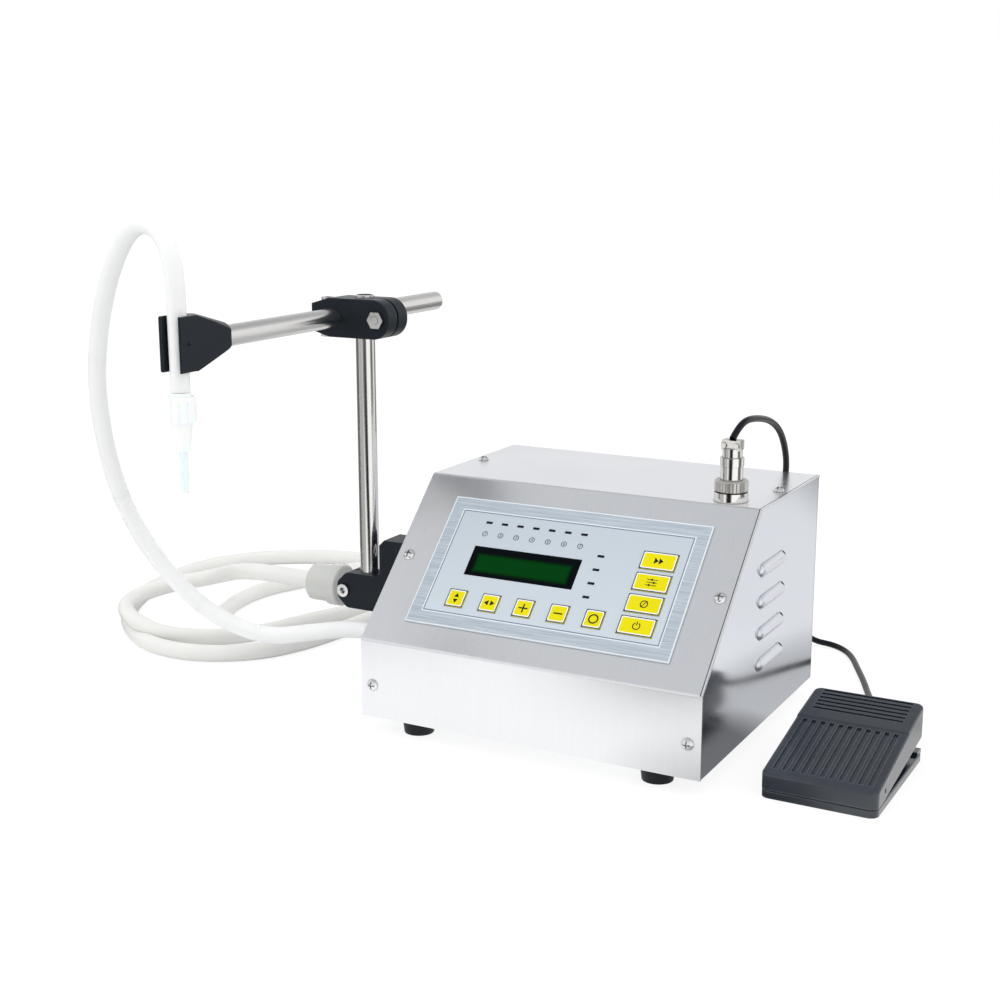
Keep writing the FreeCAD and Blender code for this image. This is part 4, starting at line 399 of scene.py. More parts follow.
def crevice_shade_group() -> bpy.types.NodeTree:
    """Where a recess or a joint closes in and little light gets to.

    Returns:
        The node group.
    """
    tree, n, given, out = new_group("crevice_shade", (("Reach", 0.001),), ("Shade",))
    near = n.add("AmbientOcclusion", samples=8)
    n.link(given["Reach"], near.inputs["Distance"])
    n.link(n.spread(near.outputs["AO"], 0.30, 0.92, 1.0, 0.0), out["Shade"])
    return tree


class Effect(Enum):
    """The shared surface effects, each built once."""

    ROLLED = "rolled_grain"
    MOULDED = "moulded_grain"
    WEAR_AND_HIGHLIGHT = "edge_rub"
    DUST = "settled_dust"
    CREVICE = "crevice_shade"


EFFECT_BUILDERS: dict[Effect, Callable[[], bpy.types.NodeTree]] = {
    Effect.ROLLED: rolled_grain_group,
    Effect.MOULDED: moulded_grain_group,
    Effect.WEAR_AND_HIGHLIGHT: edge_wear_and_highlight_group,
    Effect.DUST: settled_dust_group,
    Effect.CREVICE: crevice_shade_group,
}


def effect(nodes: Nodes, which: Effect, **values: float) -> bpy.types.bpy_prop_collection:
    """Places a shared effect in a material with its own values.

    Args:
        nodes: The material's node helper.
        which: The effect to place.
        values: The effect's inputs, with underscores for spaces.

    Returns:
        The group node's outputs.
    """
    tree = bpy.data.node_groups.get(which.value) or EFFECT_BUILDERS[which]()
    node = nodes.tree.nodes.new("ShaderNodeGroup")
    node.node_tree = tree
    for name, value in values.items():
        node.inputs[name.replace("_", " ")].default_value = value
    return node.outputs


def start_material(name: str) -> tuple[bpy.types.Material, Nodes, bpy.types.Node]:
    """A new material with one Principled BSDF.

    Args:
        name: The material's name.

    Returns:
        The material, its node helper and its Principled BSDF.
    """
    material = bpy.data.materials.new(name)
    material.use_nodes = True
    nodes = Nodes(material.node_tree)
    shader = material.node_tree.nodes["Principled BSDF"]
    return material, nodes, shader


def bump(nodes: Nodes, shader: bpy.types.Node, height: Socket, strength: float,
         distance: float) -> None:
    """Feeds a height through one Bump node to the shader's normal.

    Args:
        nodes: The material's node helper.
        shader: Its Principled BSDF.
        height: The height, from 0 to 1.
        strength: The node's strength.
        distance: How deep the height is, in metres.
    """
    node = nodes.add("Bump")
    node.inputs["Strength"].default_value = strength
    node.inputs["Distance"].default_value = distance
    nodes.link(height, node.inputs["Height"])
    nodes.link(node.outputs[0], shader.inputs["Normal"])


def slope_place(n: Nodes) -> list[Socket]:
    """The surface point in the slope's own coordinates.

    Args:
        n: The material's node helper.

    Returns:
        The place across, along the slope and outwards, in metres.
    """
    mapping = n.add("Mapping", vector_type="POINT")
    turn = CABINET.slope_matrix().inverted()
    mapping.inputs["Location"].default_value = turn.to_translation()
    mapping.inputs["Rotation"].default_value = turn.to_euler()
    n.link(n.place(), mapping.inputs["Vector"])
    return n.parts(mapping.outputs[0])


# Finishes

@dataclass(frozen=True)
class SheetMetal:
    """Brushed or polished metal whose streaks run along the axes with small stretch values.

    Streaks change its tone, roughness and height, edges are lighter from edge wear and a
    painted highlight, recesses get painted shade over a reach in metres, and turned parts get
    painted shade towards their outline.
    """

    name: str
    colour: Colour
    roughness: float
    stretch: tuple[float, float, float]
    streak_tone: float = 0.12
    streak_rough: float = 0.10
    streak_depth: float = 0.15
    rub: float = 0.0004
    reach: float = 0.0010
    crevice: float = 0.75
    # How far painted shade darkens the metal towards its outline, where it is seen edge-on.
    turned: float = 0.0
    wear_and_highlight_share: float = 0.6
    wear_and_highlight_gain: float = 1.12
    grazing_shade_from: float = 0.62
    grazing_shade_to: float = 0.95
    cloud_rough: float = 0.04
    streak_height: float = 0.00002

    def build(self) -> bpy.types.Material:
        """Builds the material.

        Returns:
            The material.
        """
        material, n, shader = start_material(self.name)
        grain = effect(n, Effect.ROLLED, Along_X=self.stretch[0], Along_Y=self.stretch[1],
                       Along_Z=self.stretch[2])
        rub = effect(n, Effect.WEAR_AND_HIGHLIGHT, Width=self.rub)["Rub"]
        tone = n.mix(grain["Streak"], toned(self.colour, 1.0 - self.streak_tone),
                     toned(self.colour, 1.0 + self.streak_tone * 0.5))
        # Painted highlight with edge wear: edges lighten towards a brighter copy of the colour.
        edge_worn_and_highlit = n.mix(n.math("MULTIPLY", rub, self.wear_and_highlight_share), tone,
                       toned(self.colour, self.wear_and_highlight_gain))
        shade = effect(n, Effect.CREVICE, Reach=self.reach)["Shade"]
        # Painted shade: recesses and joints darken where ambient occlusion finds them closed in.
        shaded = n.mix(n.math("MULTIPLY", shade, self.crevice), edge_worn_and_highlit, RECESS_SHADE_TONE)
        # Painted shade: the colour darkens where the surface faces away from the view.
        facing = n.add("LayerWeight")
        facing.inputs["Blend"].default_value = 0.5
        away = n.spread(facing.outputs["Facing"], self.grazing_shade_from, self.grazing_shade_to, 0.0,
                        self.turned)
        n.link(n.mix(away, shaded, GRAZING_SHADE_TONE), shader.inputs["Base Color"])
        rough = n.math("ADD", n.math("MULTIPLY", grain["Streak"], self.streak_rough),
                       self.roughness - self.streak_rough / 2)
        n.link(n.math("ADD", rough, n.math("MULTIPLY", grain["Cloud"], self.cloud_rough)),
               shader.inputs["Roughness"])
        shader.inputs["Metallic"].default_value = 1.0
        bump(n, shader, grain["Streak"], self.streak_depth, self.streak_height)
        return material


@dataclass(frozen=True)
class Moulded:
    """Moulded plastic or rubber: pebble, edge wear with painted highlight, painted shade, dust."""

    name: str
    colour: Colour
    roughness: float
    grain: float = 2600.0
    depth: float = 0.25
    wear_and_highlight_colour: Colour | None = None
    rub: float = 0.0006
    dust: float = 0.05
    tone: float = 0.12
    coat: float = 0.0
    subsurface: float = 0.0
    specular: float = 0.5
    crevice: float = 0.0
    crevice_reach: float = 0.0015
    crevice_shade_tone: float = 0.25
    wear_and_highlight_share: float = 0.55
    rub_polish: float = 0.12
    tone_rough: float = 0.10
    scatter: float = 0.004
    pebble_height: float = 0.00005

    def build(self) -> bpy.types.Material:
        """Builds the material.

        Returns:
            The material.
        """
        material, n, shader = start_material(self.name)
        grain = effect(n, Effect.MOULDED, Grain=self.grain)
        rub = effect(n, Effect.WEAR_AND_HIGHLIGHT, Width=self.rub)["Rub"]
        film = effect(n, Effect.DUST, Amount=self.dust)["Film"]
        body = n.mix(grain["Tone"], toned(self.colour, 1.0 - self.tone),
                     toned(self.colour, 1.0 + self.tone))
        # Painted highlight with edge wear: edges lighten towards a paler colour.
        worn_and_highlit_colour = self.wear_and_highlight_colour or toned(self.colour, 1.35, 0.01)
        edge_worn_and_highlit = n.mix(n.math("MULTIPLY", rub, self.wear_and_highlight_share), body, worn_and_highlit_colour)
        dusty = n.mix(film, edge_worn_and_highlit, DUST_TONE)
        # Painted shade: recesses and joints darken where ambient occlusion finds them closed in.
        shade = effect(n, Effect.CREVICE, Reach=self.crevice_reach)["Shade"]
        n.link(n.mix(n.math("MULTIPLY", shade, self.crevice), dusty,
                     toned(self.colour, self.crevice_shade_tone)), shader.inputs["Base Color"])
        rough = n.math("ADD", n.math("MULTIPLY", grain["Tone"], self.tone_rough),
                       self.roughness - self.tone_rough / 2)
        n.link(n.math("SUBTRACT", rough, n.math("MULTIPLY", rub, self.rub_polish), clamp=True),
               shader.inputs["Roughness"])
        shader.inputs["Coat Weight"].default_value = self.coat
        shader.inputs["Subsurface Weight"].default_value = self.subsurface
        shader.inputs["Subsurface Scale"].default_value = self.scatter
        shader.inputs["Specular IOR Level"].default_value = self.specular
        bump(n, shader, grain["Pebble"], self.depth, self.pebble_height)
        return material


@dataclass(frozen=True)
class ClearHose:
    """Milky silicone tube: pale body, painted edge shade, soft sheen, slow clouds inside the wall.
    """

    name: str
    colour: Colour
    roughness: float
    subsurface: float
    # How dark the painted shade gets at the tube's outline.
    rim: float = 0.16
    rim_from: float = 0.45
    rim_to: float = 0.95
    grain: float = 900.0
    dust: float = 0.03
    low_tone: float = 0.985
    tone_rough: float = 0.12
    base_rough: float = 0.05
    scatter: float = 0.006
    index: float = 1.41

    def build(self) -> bpy.types.Material:
        """Builds the material.

        Returns:
            The material.
        """
        material, n, shader = start_material(self.name)
        grain = effect(n, Effect.MOULDED, Grain=self.grain)
        film = effect(n, Effect.DUST, Amount=self.dust)["Film"]
        body = n.mix(grain["Tone"], toned(self.colour, self.low_tone), self.colour)
        # Painted shade: the tube darkens towards its outline, where it is seen edge-on.
        facing = n.add("LayerWeight")
        facing.inputs["Blend"].default_value = 0.5
        thin = n.spread(facing.outputs["Facing"], self.rim_from, self.rim_to, 0.0, self.rim)
        body = n.mix(thin, body, HOSE_EDGE_SHADE_TONE)
        n.link(n.mix(film, body, HOSE_DUST_TONE), shader.inputs["Base Color"])
        n.link(n.math("ADD", n.math("MULTIPLY", grain["Tone"], self.tone_rough),
                      self.roughness - self.base_rough),
               shader.inputs["Roughness"])
        shader.inputs["Subsurface Weight"].default_value = self.subsurface
        shader.inputs["Subsurface Scale"].default_value = self.scatter
        shader.inputs["Subsurface Radius"].default_value = (1.0, 1.0, 1.0)
        shader.inputs["IOR"].default_value = self.index
        bump(n, shader, grain["Pebble"], 0.03, 0.0001)
        return material


@dataclass(frozen=True)
class OverlayPrint:
    """Keypad overlay: brushed band, double frame line, plain field and a painted edge highlight."""

    name: str = "overlay_print"
    band: Colour = (0.52, 0.58, 0.64)
    band_dark: Colour = (0.27, 0.32, 0.38)
    field: Colour = (0.50, 0.56, 0.62)
    line: Colour = (0.07, 0.10, 0.17)
    half_across: float = 0.0875
    low: float = 0.0166
    high: float = 0.1096
    frame_across: float = 0.0780
    frame_low: float = 0.0263
    frame_high: float = 0.0999
    line_half: float = 0.00028
    line_gap: float = 0.0008
    speck: Colour = (0.62, 0.68, 0.73)
    coat: float = 0.25

    def rim(self, n: Nodes, x: Socket, s: Socket, half: float,
            low: float, high: float) -> Socket:
        """How far a point lies outside a rectangle's edge, and below 0 inside it.

        Args:
            n: The material's node helper.
            x: The point's place across.
            s: Its place along the slope.
            half: Half the rectangle's width.
            low: Where the rectangle starts along the slope.
            high: Where it ends.

        Returns:
            The distance in metres.
        """
        across = n.math("SUBTRACT", n.math("ABSOLUTE", x), half)
        middle = (low + high) / 2
        along = n.math("SUBTRACT", n.math("ABSOLUTE", n.math("SUBTRACT", s, middle)),
                       (high - low) / 2)
        return n.math("MAXIMUM", across, along)

    def build(self) -> bpy.types.Material:
        """Builds the material in the slope's own coordinates.

        Returns:
            The material.
        """
        material, n, shader = start_material(self.name)
        x, s, _ = slope_place(n)
        stretched = n.add("CombineXYZ")
        n.link(n.math("MULTIPLY", x, 22.0), stretched.inputs[0])
        n.link(n.math("MULTIPLY", s, 1150.0), stretched.inputs[1])
        streak = n.spread(n.noise(stretched.outputs[0], 1.0, 4.0, 0.7), 0.3, 0.7)
        band = n.mix(streak, self.band_dark, self.band)
        shade = n.spread(s, self.low, self.high, 0.0, 1.0)
        field = n.mix(shade, toned(self.field, 1.06), toned(self.field, 0.92))
        speck = n.spread(n.noise(n.place(), 2200.0, 2.0, 0.6), 0.35, 0.65)
        field = n.mix(n.math("MULTIPLY", speck, 0.10), field, self.speck)
        outside = self.rim(n, x, s, self.frame_across, self.frame_low, self.frame_high)
        colour = n.mix(n.spread(outside, -0.00006, 0.00006), field, band)
        for centre, tone in ((0.0, self.line), (self.line_gap, LIGHT_LINE_AND_HIGHLIGHT_TONE)):
            away = n.math("ABSOLUTE", n.math("SUBTRACT", outside, centre))
            line = n.spread(away, self.line_half, self.line_half + 0.0001, 1.0, 0.0)
            colour = n.mix(n.math("MULTIPLY", line, 0.8), colour, tone)
        # Painted highlight: a pale line just inside the overlay's outer edge.
        edge = self.rim(n, x, s, self.half_across, self.low, self.high)
        painted_edge_highlight = n.spread(edge, -0.0009, -0.0007)
        colour = n.mix(n.math("MULTIPLY", painted_edge_highlight, 0.7), colour, LIGHT_LINE_AND_HIGHLIGHT_TONE)
        n.link(colour, shader.inputs["Base Color"])
        n.link(n.math("ADD", n.math("MULTIPLY", streak, 0.08), 0.30), shader.inputs["Roughness"])
        shader.inputs["Coat Weight"].default_value = self.coat
        shader.inputs["Coat Roughness"].default_value = self.coat
        bump(n, shader, n.math("MULTIPLY", streak, n.spread(outside, -0.0001, 0.0001)), 0.15,
             0.00004)
        return material


@dataclass(frozen=True)
class DisplayWindow:
    """Display window: black surround and a dark green field with painted shade at its edges."""

    name: str = "display_window"
    middle_x: float = -0.0242
    middle_s: float = 0.0637
    half_across: float = 0.0332
    half_along: float = 0.0075
    green: Colour = (0.000, 0.030, 0.003)
    deep: Colour = (0.000, 0.006, 0.001)
    lit: Colour = (0.000, 0.045, 0.005)
    surround: Colour = (0.001, 0.002, 0.003)
    glow: float = 0.35
    specular: float = 0.04

    def build(self) -> bpy.types.Material:
        """Builds the material in the slope's own coordinates.

        Returns:
            The material.
        """
        material, n, shader = start_material(self.name)
        x, s, _ = slope_place(n)
        across = n.math("SUBTRACT", n.math("ABSOLUTE", n.math("SUBTRACT", x, self.middle_x)),
                        self.half_across)
        along = n.math("SUBTRACT", n.math("ABSOLUTE", n.math("SUBTRACT", s, self.middle_s)),
                       self.half_along)
        outside = n.math("MAXIMUM", across, along)
        # Painted shade: the green field darkens within 3 mm of the window's edge.
        lit = n.spread(outside, -0.0030, 0.0, 0.0, 1.0)
        glow = n.spread(n.noise(n.place(), 30.0, 2.0, 0.5), 0.3, 0.7)
        cells = n.noise(n.place(), 3800.0, 1.0, 0.5)
        green = n.mix(n.math("MULTIPLY", glow, 0.35), self.green, self.lit)
        green = n.mix(n.math("MULTIPLY", cells, 0.15), green, self.deep)
        field = n.mix(lit, green, self.deep)
        colour = n.mix(n.spread(outside, -0.0014, 0.0002), field, self.surround)
        n.link(colour, shader.inputs["Base Color"])
        n.link(colour, shader.inputs["Emission Color"])
        shader.inputs["Emission Strength"].default_value = self.glow
        n.link(n.spread(outside, -0.0002, 0.0002, 0.14, 0.28), shader.inputs["Roughness"])
        shader.inputs["Specular IOR Level"].default_value = self.specular
        bump(n, shader, n.spread(outside, -0.0004, 0.0), 0.4, 0.0002)
        return material


@dataclass(frozen=True)
class CircuitBoard:
    """Green solder mask with faint tracks."""

    name: str = "circuit_board"
    mask: Colour = (0.010, 0.10, 0.035)
    track: Colour = (0.02, 0.16, 0.06)

    def build(self) -> bpy.types.Material:
        """Builds the material.

        Returns:
            The material.
        """
        material, n, shader = start_material(self.name)
        wave = n.add("TexWave", wave_type="BANDS", bands_direction="DIAGONAL")
        n.link(n.place(), wave.inputs["Vector"])
        wave.inputs["Scale"].default_value = 260.0
        wave.inputs["Distortion"].default_value = 6.0
        tracks = n.spread(wave.outputs["Fac"], 0.6, 0.7)
        n.link(n.mix(tracks, self.mask, self.track), shader.inputs["Base Color"])
        n.link(n.spread(tracks, 0.0, 1.0, 0.4, 0.3), shader.inputs["Roughness"])
        bump(n, shader, tracks, 0.2, 0.00005)
        return material


class Look(Enum):
    """Every finish of the machine, by the name that the assemblies use."""

    COVER = SheetMetal("cover_stainless", (0.87, 0.885, 0.905), 0.28, (2600.0, 55.0, 55.0),
                       0.035, 0.05, 0.012, 0.0005, 0.0014)
    SIDE = SheetMetal("side_stainless", (0.79, 0.82, 0.88), 0.12, (60.0, 55.0, 2200.0), 0.02,
                      0.03, 0.012, 0.0005, 0.0012)
    # The louvre domes use a paler copy of the side steel as a painted highlight.
    LOUVRE = SheetMetal("louvre_highlit_stainless", (0.88, 0.90, 0.95), 0.42, (300.0, 300.0, 300.0), 0.02,
                        0.03, 0.02, 0.0005, 0.0012)
    # Cut edge of the sheet, also used for the painted highlight along the slope's right edge.
    EDGE = SheetMetal("cut_edge_and_highlight", (0.95, 0.96, 0.97), 0.34, (300.0, 300.0, 300.0), 0.03, 0.04,
                      0.05, crevice=0.0)
    ROD = SheetMetal("rod_polished", (0.80, 0.79, 0.77), 0.13, (900.0, 900.0, 60.0), 0.05, 0.04,
                     0.03, turned=0.5)
    ARM = SheetMetal("arm_polished", (0.80, 0.79, 0.77), 0.22, (900.0, 60.0, 900.0), 0.06, 0.05,
                     0.05, turned=0.5)
    NICKEL = SheetMetal("nickel_plate", (0.84, 0.83, 0.80), 0.10, (160.0, 160.0, 1900.0), 0.05,
                        0.05, 0.05, 0.0003, 0.0012, 0.9, 0.8)
    KNURL = SheetMetal("knurled_nickel", (0.66, 0.65, 0.61), 0.36, (500.0, 500.0, 500.0), 0.10,
                       0.08, 0.15, 0.0003, 0.0006, 0.5, 0.5)
    ZINC = SheetMetal("zinc_screw_finish", (0.86, 0.86, 0.86), 0.16, (700.0, 700.0, 700.0),
                      0.06, 0.06, 0.08, 0.0003, 0.0020, 0.97, 0.9)
    PUMP = SheetMetal("pump_steel_finish", (0.60, 0.60, 0.61), 0.30, (900.0, 900.0, 120.0))
    SUPPLY = SheetMetal("supply_zinc_finish", (0.62, 0.64, 0.66), 0.38, (120.0, 160.0, 900.0))
    SPRING = SheetMetal("spring_steel_finish", (0.55, 0.55, 0.56), 0.28, (500.0, 500.0, 500.0))
    # The black plastics' pale edge colours are mostly a painted highlight, with some edge wear.
    NYLON = Moulded("black_nylon_finish", (0.006, 0.010, 0.016), 0.36, 2200.0, 0.16,
                    (0.05, 0.065, 0.085), 0.0007, 0.01, specular=0.22, crevice=0.7)
    PEDAL = Moulded("pedal_abs", (0.010, 0.016, 0.026), 0.18, 1500.0, 0.10,
                    (0.22, 0.25, 0.30), 0.0012, 0.01, specular=0.80, crevice=0.85)
    RUBBER = Moulded("foot_rubber", (0.006, 0.008, 0.011), 0.50, 1800.0, 0.25, dust=0.0,
                     specular=0.25)
    CABLE = Moulded("cable_jacket", (0.003, 0.004, 0.007), 0.20, 1200.0, 0.05, dust=0.0,
                    specular=0.25)
    TIE = Moulded("cable_tie", (0.020, 0.021, 0.024), 0.45, 2600.0, 0.30, dust=0.02)
    KEY = Moulded("key_yellow_finish", (0.72, 0.645, 0.002), 0.42, 2400.0, 0.06,
                  (0.72, 0.65, 0.01), 0.0003, 0.0, 0.02, specular=0.10)
    KEY_RIM = Moulded("key_rim_white", (0.86, 0.86, 0.84), 0.42, 2400.0, 0.05, dust=0.0, tone=0.02)
    PRINT = Moulded("printed_ink", (0.008, 0.009, 0.012), 0.50, 2400.0, 0.05, dust=0.0,
                    specular=0.2)
    KEY_LINE = Moulded("key_outline", (0.045, 0.060, 0.105), 0.45, 2400.0, 0.05, dust=0.0,
                       specular=0.25)
    LAMP = Moulded("lamp_black_finish", (0.006, 0.007, 0.009), 0.35, 2400.0, 0.05, dust=0.0,
                   specular=0.2)
    BEZEL = Moulded("display_bezel", (0.002, 0.003, 0.004), 0.40, dust=0.0, specular=0.15,
                    wear_and_highlight_colour=(0.02, 0.022, 0.024))
    SEAM = Moulded("seam_shadow", (0.006, 0.007, 0.008), 0.60, 2400.0, 0.05, dust=0.0,
                   specular=0.1)
    WHITE = Moulded("white_nylon_finish", (0.96, 0.97, 0.97), 0.36, 1500.0, 0.06,
                    (0.98, 0.98, 0.98), 0.0004, 0.0, 0.01, subsurface=0.45)
    MOTOR = Moulded("motor_paint_finish", (0.06, 0.07, 0.08), 0.42)
    SOCKET = Moulded("inlet_black", (0.015, 0.016, 0.018), 0.40)
    STRAINER = Moulded("strainer_smoke", (0.56, 0.57, 0.55), 0.24, 1200.0, 0.03,
                       (0.66, 0.67, 0.65), 0.0006, 0.0, 0.03, 0.3, 0.2, crevice=0.4)
    HOSE = ClearHose("silicone_hose", (0.82, 0.82, 0.79), 0.34, 0.45)
    OUTLET = ClearHose("outlet_silicone", (0.95, 0.96, 0.96), 0.32, 0.45, 0.08)
    OVERLAY = OverlayPrint()
    WINDOW = DisplayWindow()
    BOARD = CircuitBoard()

    def material(self) -> bpy.types.Material:
        """The finish's material, built the first time that it is asked for."""
        return bpy.data.materials.get(self.value.name) or self.value.build()


Finishes = tuple[tuple[Look, tuple[str, ...]], ...]


def dress(finishes: Finishes) -> None:
    """Gives carried-over CAD nodes their finishes.

    Args:
        finishes: Each finish with the names of the nodes that have it.
    """
    for look, nodes in finishes:
        for node in nodes:
            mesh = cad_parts[node].data
            mesh.materials.clear()
            mesh.materials.append(look.material())


# Mesh helpers

def make_object(name: str, verts: Iterable[Sequence[float]], faces: Iterable[Sequence[int]],
                look: Look, smooth: bool, crease: float = math.pi) -> bpy.types.Object:
    """A mesh object with its faces turned outwards.

    Args:
        name: The object's name.
        verts: Its corners in the machine's frame, in metres.
        faces: Its faces by corner number.
        look: Its finish.
        smooth: Whether its faces are shaded smooth.
        crease: The angle above which an edge stays sharp, in radians.

    Returns:
        The object, with no parent.
    """
    mesh = bpy.data.meshes.new(name)
    mesh.from_pydata([tuple(v) for v in verts], [], [tuple(f) for f in faces])
    mesh.validate()
    build = bmesh.new()
    build.from_mesh(mesh)
    bmesh.ops.recalc_face_normals(build, faces=build.faces)
    for face in build.faces:
        face.smooth = smooth
    for edge in build.edges:
        if len(edge.link_faces) == 2 and edge.calc_face_angle(0.0) > crease:
            edge.smooth = False
    build.to_mesh(mesh)
    build.free()
    thing = bpy.data.objects.new(name, mesh)
    bpy.context.scene.collection.objects.link(thing)
    mesh.materials.append(look.material())
    return thing


def mesh_piece(name: str, verts: Iterable[Sequence[float]], faces: Iterable[Sequence[int]],
               look: Look, body: str, smooth: bool = False) -> bpy.types.Object:
    """A mesh piece that rides on a body.

    Args:
        name: The piece's name.
        verts: Its corners in the machine's frame, in metres.
        faces: Its faces by corner number.
        look: Its finish.
        body: The CAD body that it rides on.
        smooth: Whether its faces are shaded smooth.

    Returns:
        The piece.
    """
    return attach(make_object(name, verts, faces, look, smooth), body)


def centreline(route: Sequence[Point], resolution: int = 10) -> list[Vector]:
    """Points along the smooth NURBS line that a route's points control.

    Args:
        route: The control points, in the machine's frame, in metres.
        resolution: Steps for each control point.

    Returns:
        The line's points, from its start to its end.
    """
    data = bpy.data.curves.new("route", "CURVE")
    data.dimensions = "3D"
    add_spline(data, route, resolution)
    thing = bpy.data.objects.new("route", data)
    bpy.context.scene.collection.objects.link(thing)
    bpy.context.view_layer.update()
    line = bpy.data.meshes.new_from_object(
        thing.evaluated_get(bpy.context.evaluated_depsgraph_get()))
    points = [v.co.copy() for v in line.vertices]
    bpy.data.objects.remove(thing)
    bpy.data.curves.remove(data)
    bpy.data.meshes.remove(line)
    return points


def add_spline(data: bpy.types.Curve, route: Sequence[Point], resolution: int) -> None:
    """Adds the smooth spline of a route to a curve.

    Args:
        data: The curve.
        route: The control points, in the machine's frame, in metres.
        resolution: Steps for each control point.
    """
    spline = data.splines.new("NURBS")
    spline.points.add(len(route) - 1)
    for target, place in zip(spline.points, route):
        target.co = (*place, 1.0)
    spline.order_u = 3
    spline.use_endpoint_u = True
    spline.resolution_u = resolution


def hollow_tube(name: str, line: Sequence[Vector], outer: float, inner: float, look: Look,
                sides: int = 28, ends: tuple[bool, bool] = (True, True)) -> bpy.types.Object:
    """A hose wall swept along a line, open at both ends.

    Args:
        name: The piece's name.
        line: The points that the hose's middle follows.
        outer: The outer radius in metres.
        inner: The inner radius in metres.
        look: The finish.
        sides: Faces round the hose.
        ends: Whether the wall's cut face is closed at the start and at the end.

    Returns:
        The piece, with no parent.
    """
    verts: list[Vector] = []
    normal = None
    for index, here in enumerate(line):
        before = line[max(index - 1, 0)]
        after = line[min(index + 1, len(line) - 1)]
        along = (after - before).normalized()
        if normal is None:
            helper = Vector((0, 0, 1)) if abs(along.z) < 0.9 else Vector((1, 0, 0))
            normal = along.cross(helper).normalized()
        else:
            normal = (normal - along * normal.dot(along)).normalized()
        side = along.cross(normal)
        for radius in (outer, inner):
            for k in range(sides):
                angle = 2 * math.pi * k / sides
                verts.append(here + (normal * math.cos(angle) + side * math.sin(angle)) * radius)
    faces = []
    ring = 2 * sides
    for index in range(len(line) - 1):
        for k in range(sides):
            m = (k + 1) % sides
            a = index * ring
            b = a + ring
            faces.append((a + k, a + m, b + m, b + k))
            faces.append((a + sides + k, b + sides + k, b + sides + m, a + sides + m))
    for start, closed in zip((0, (len(line) - 1) * ring), ends):
        for k in range(sides if closed else 0):
            m = (k + 1) % sides
            faces.append((start + k, start + sides + k, start + sides + m, start + m))
    return make_object(name, verts, faces, look, True, math.radians(50))


# Cabinet

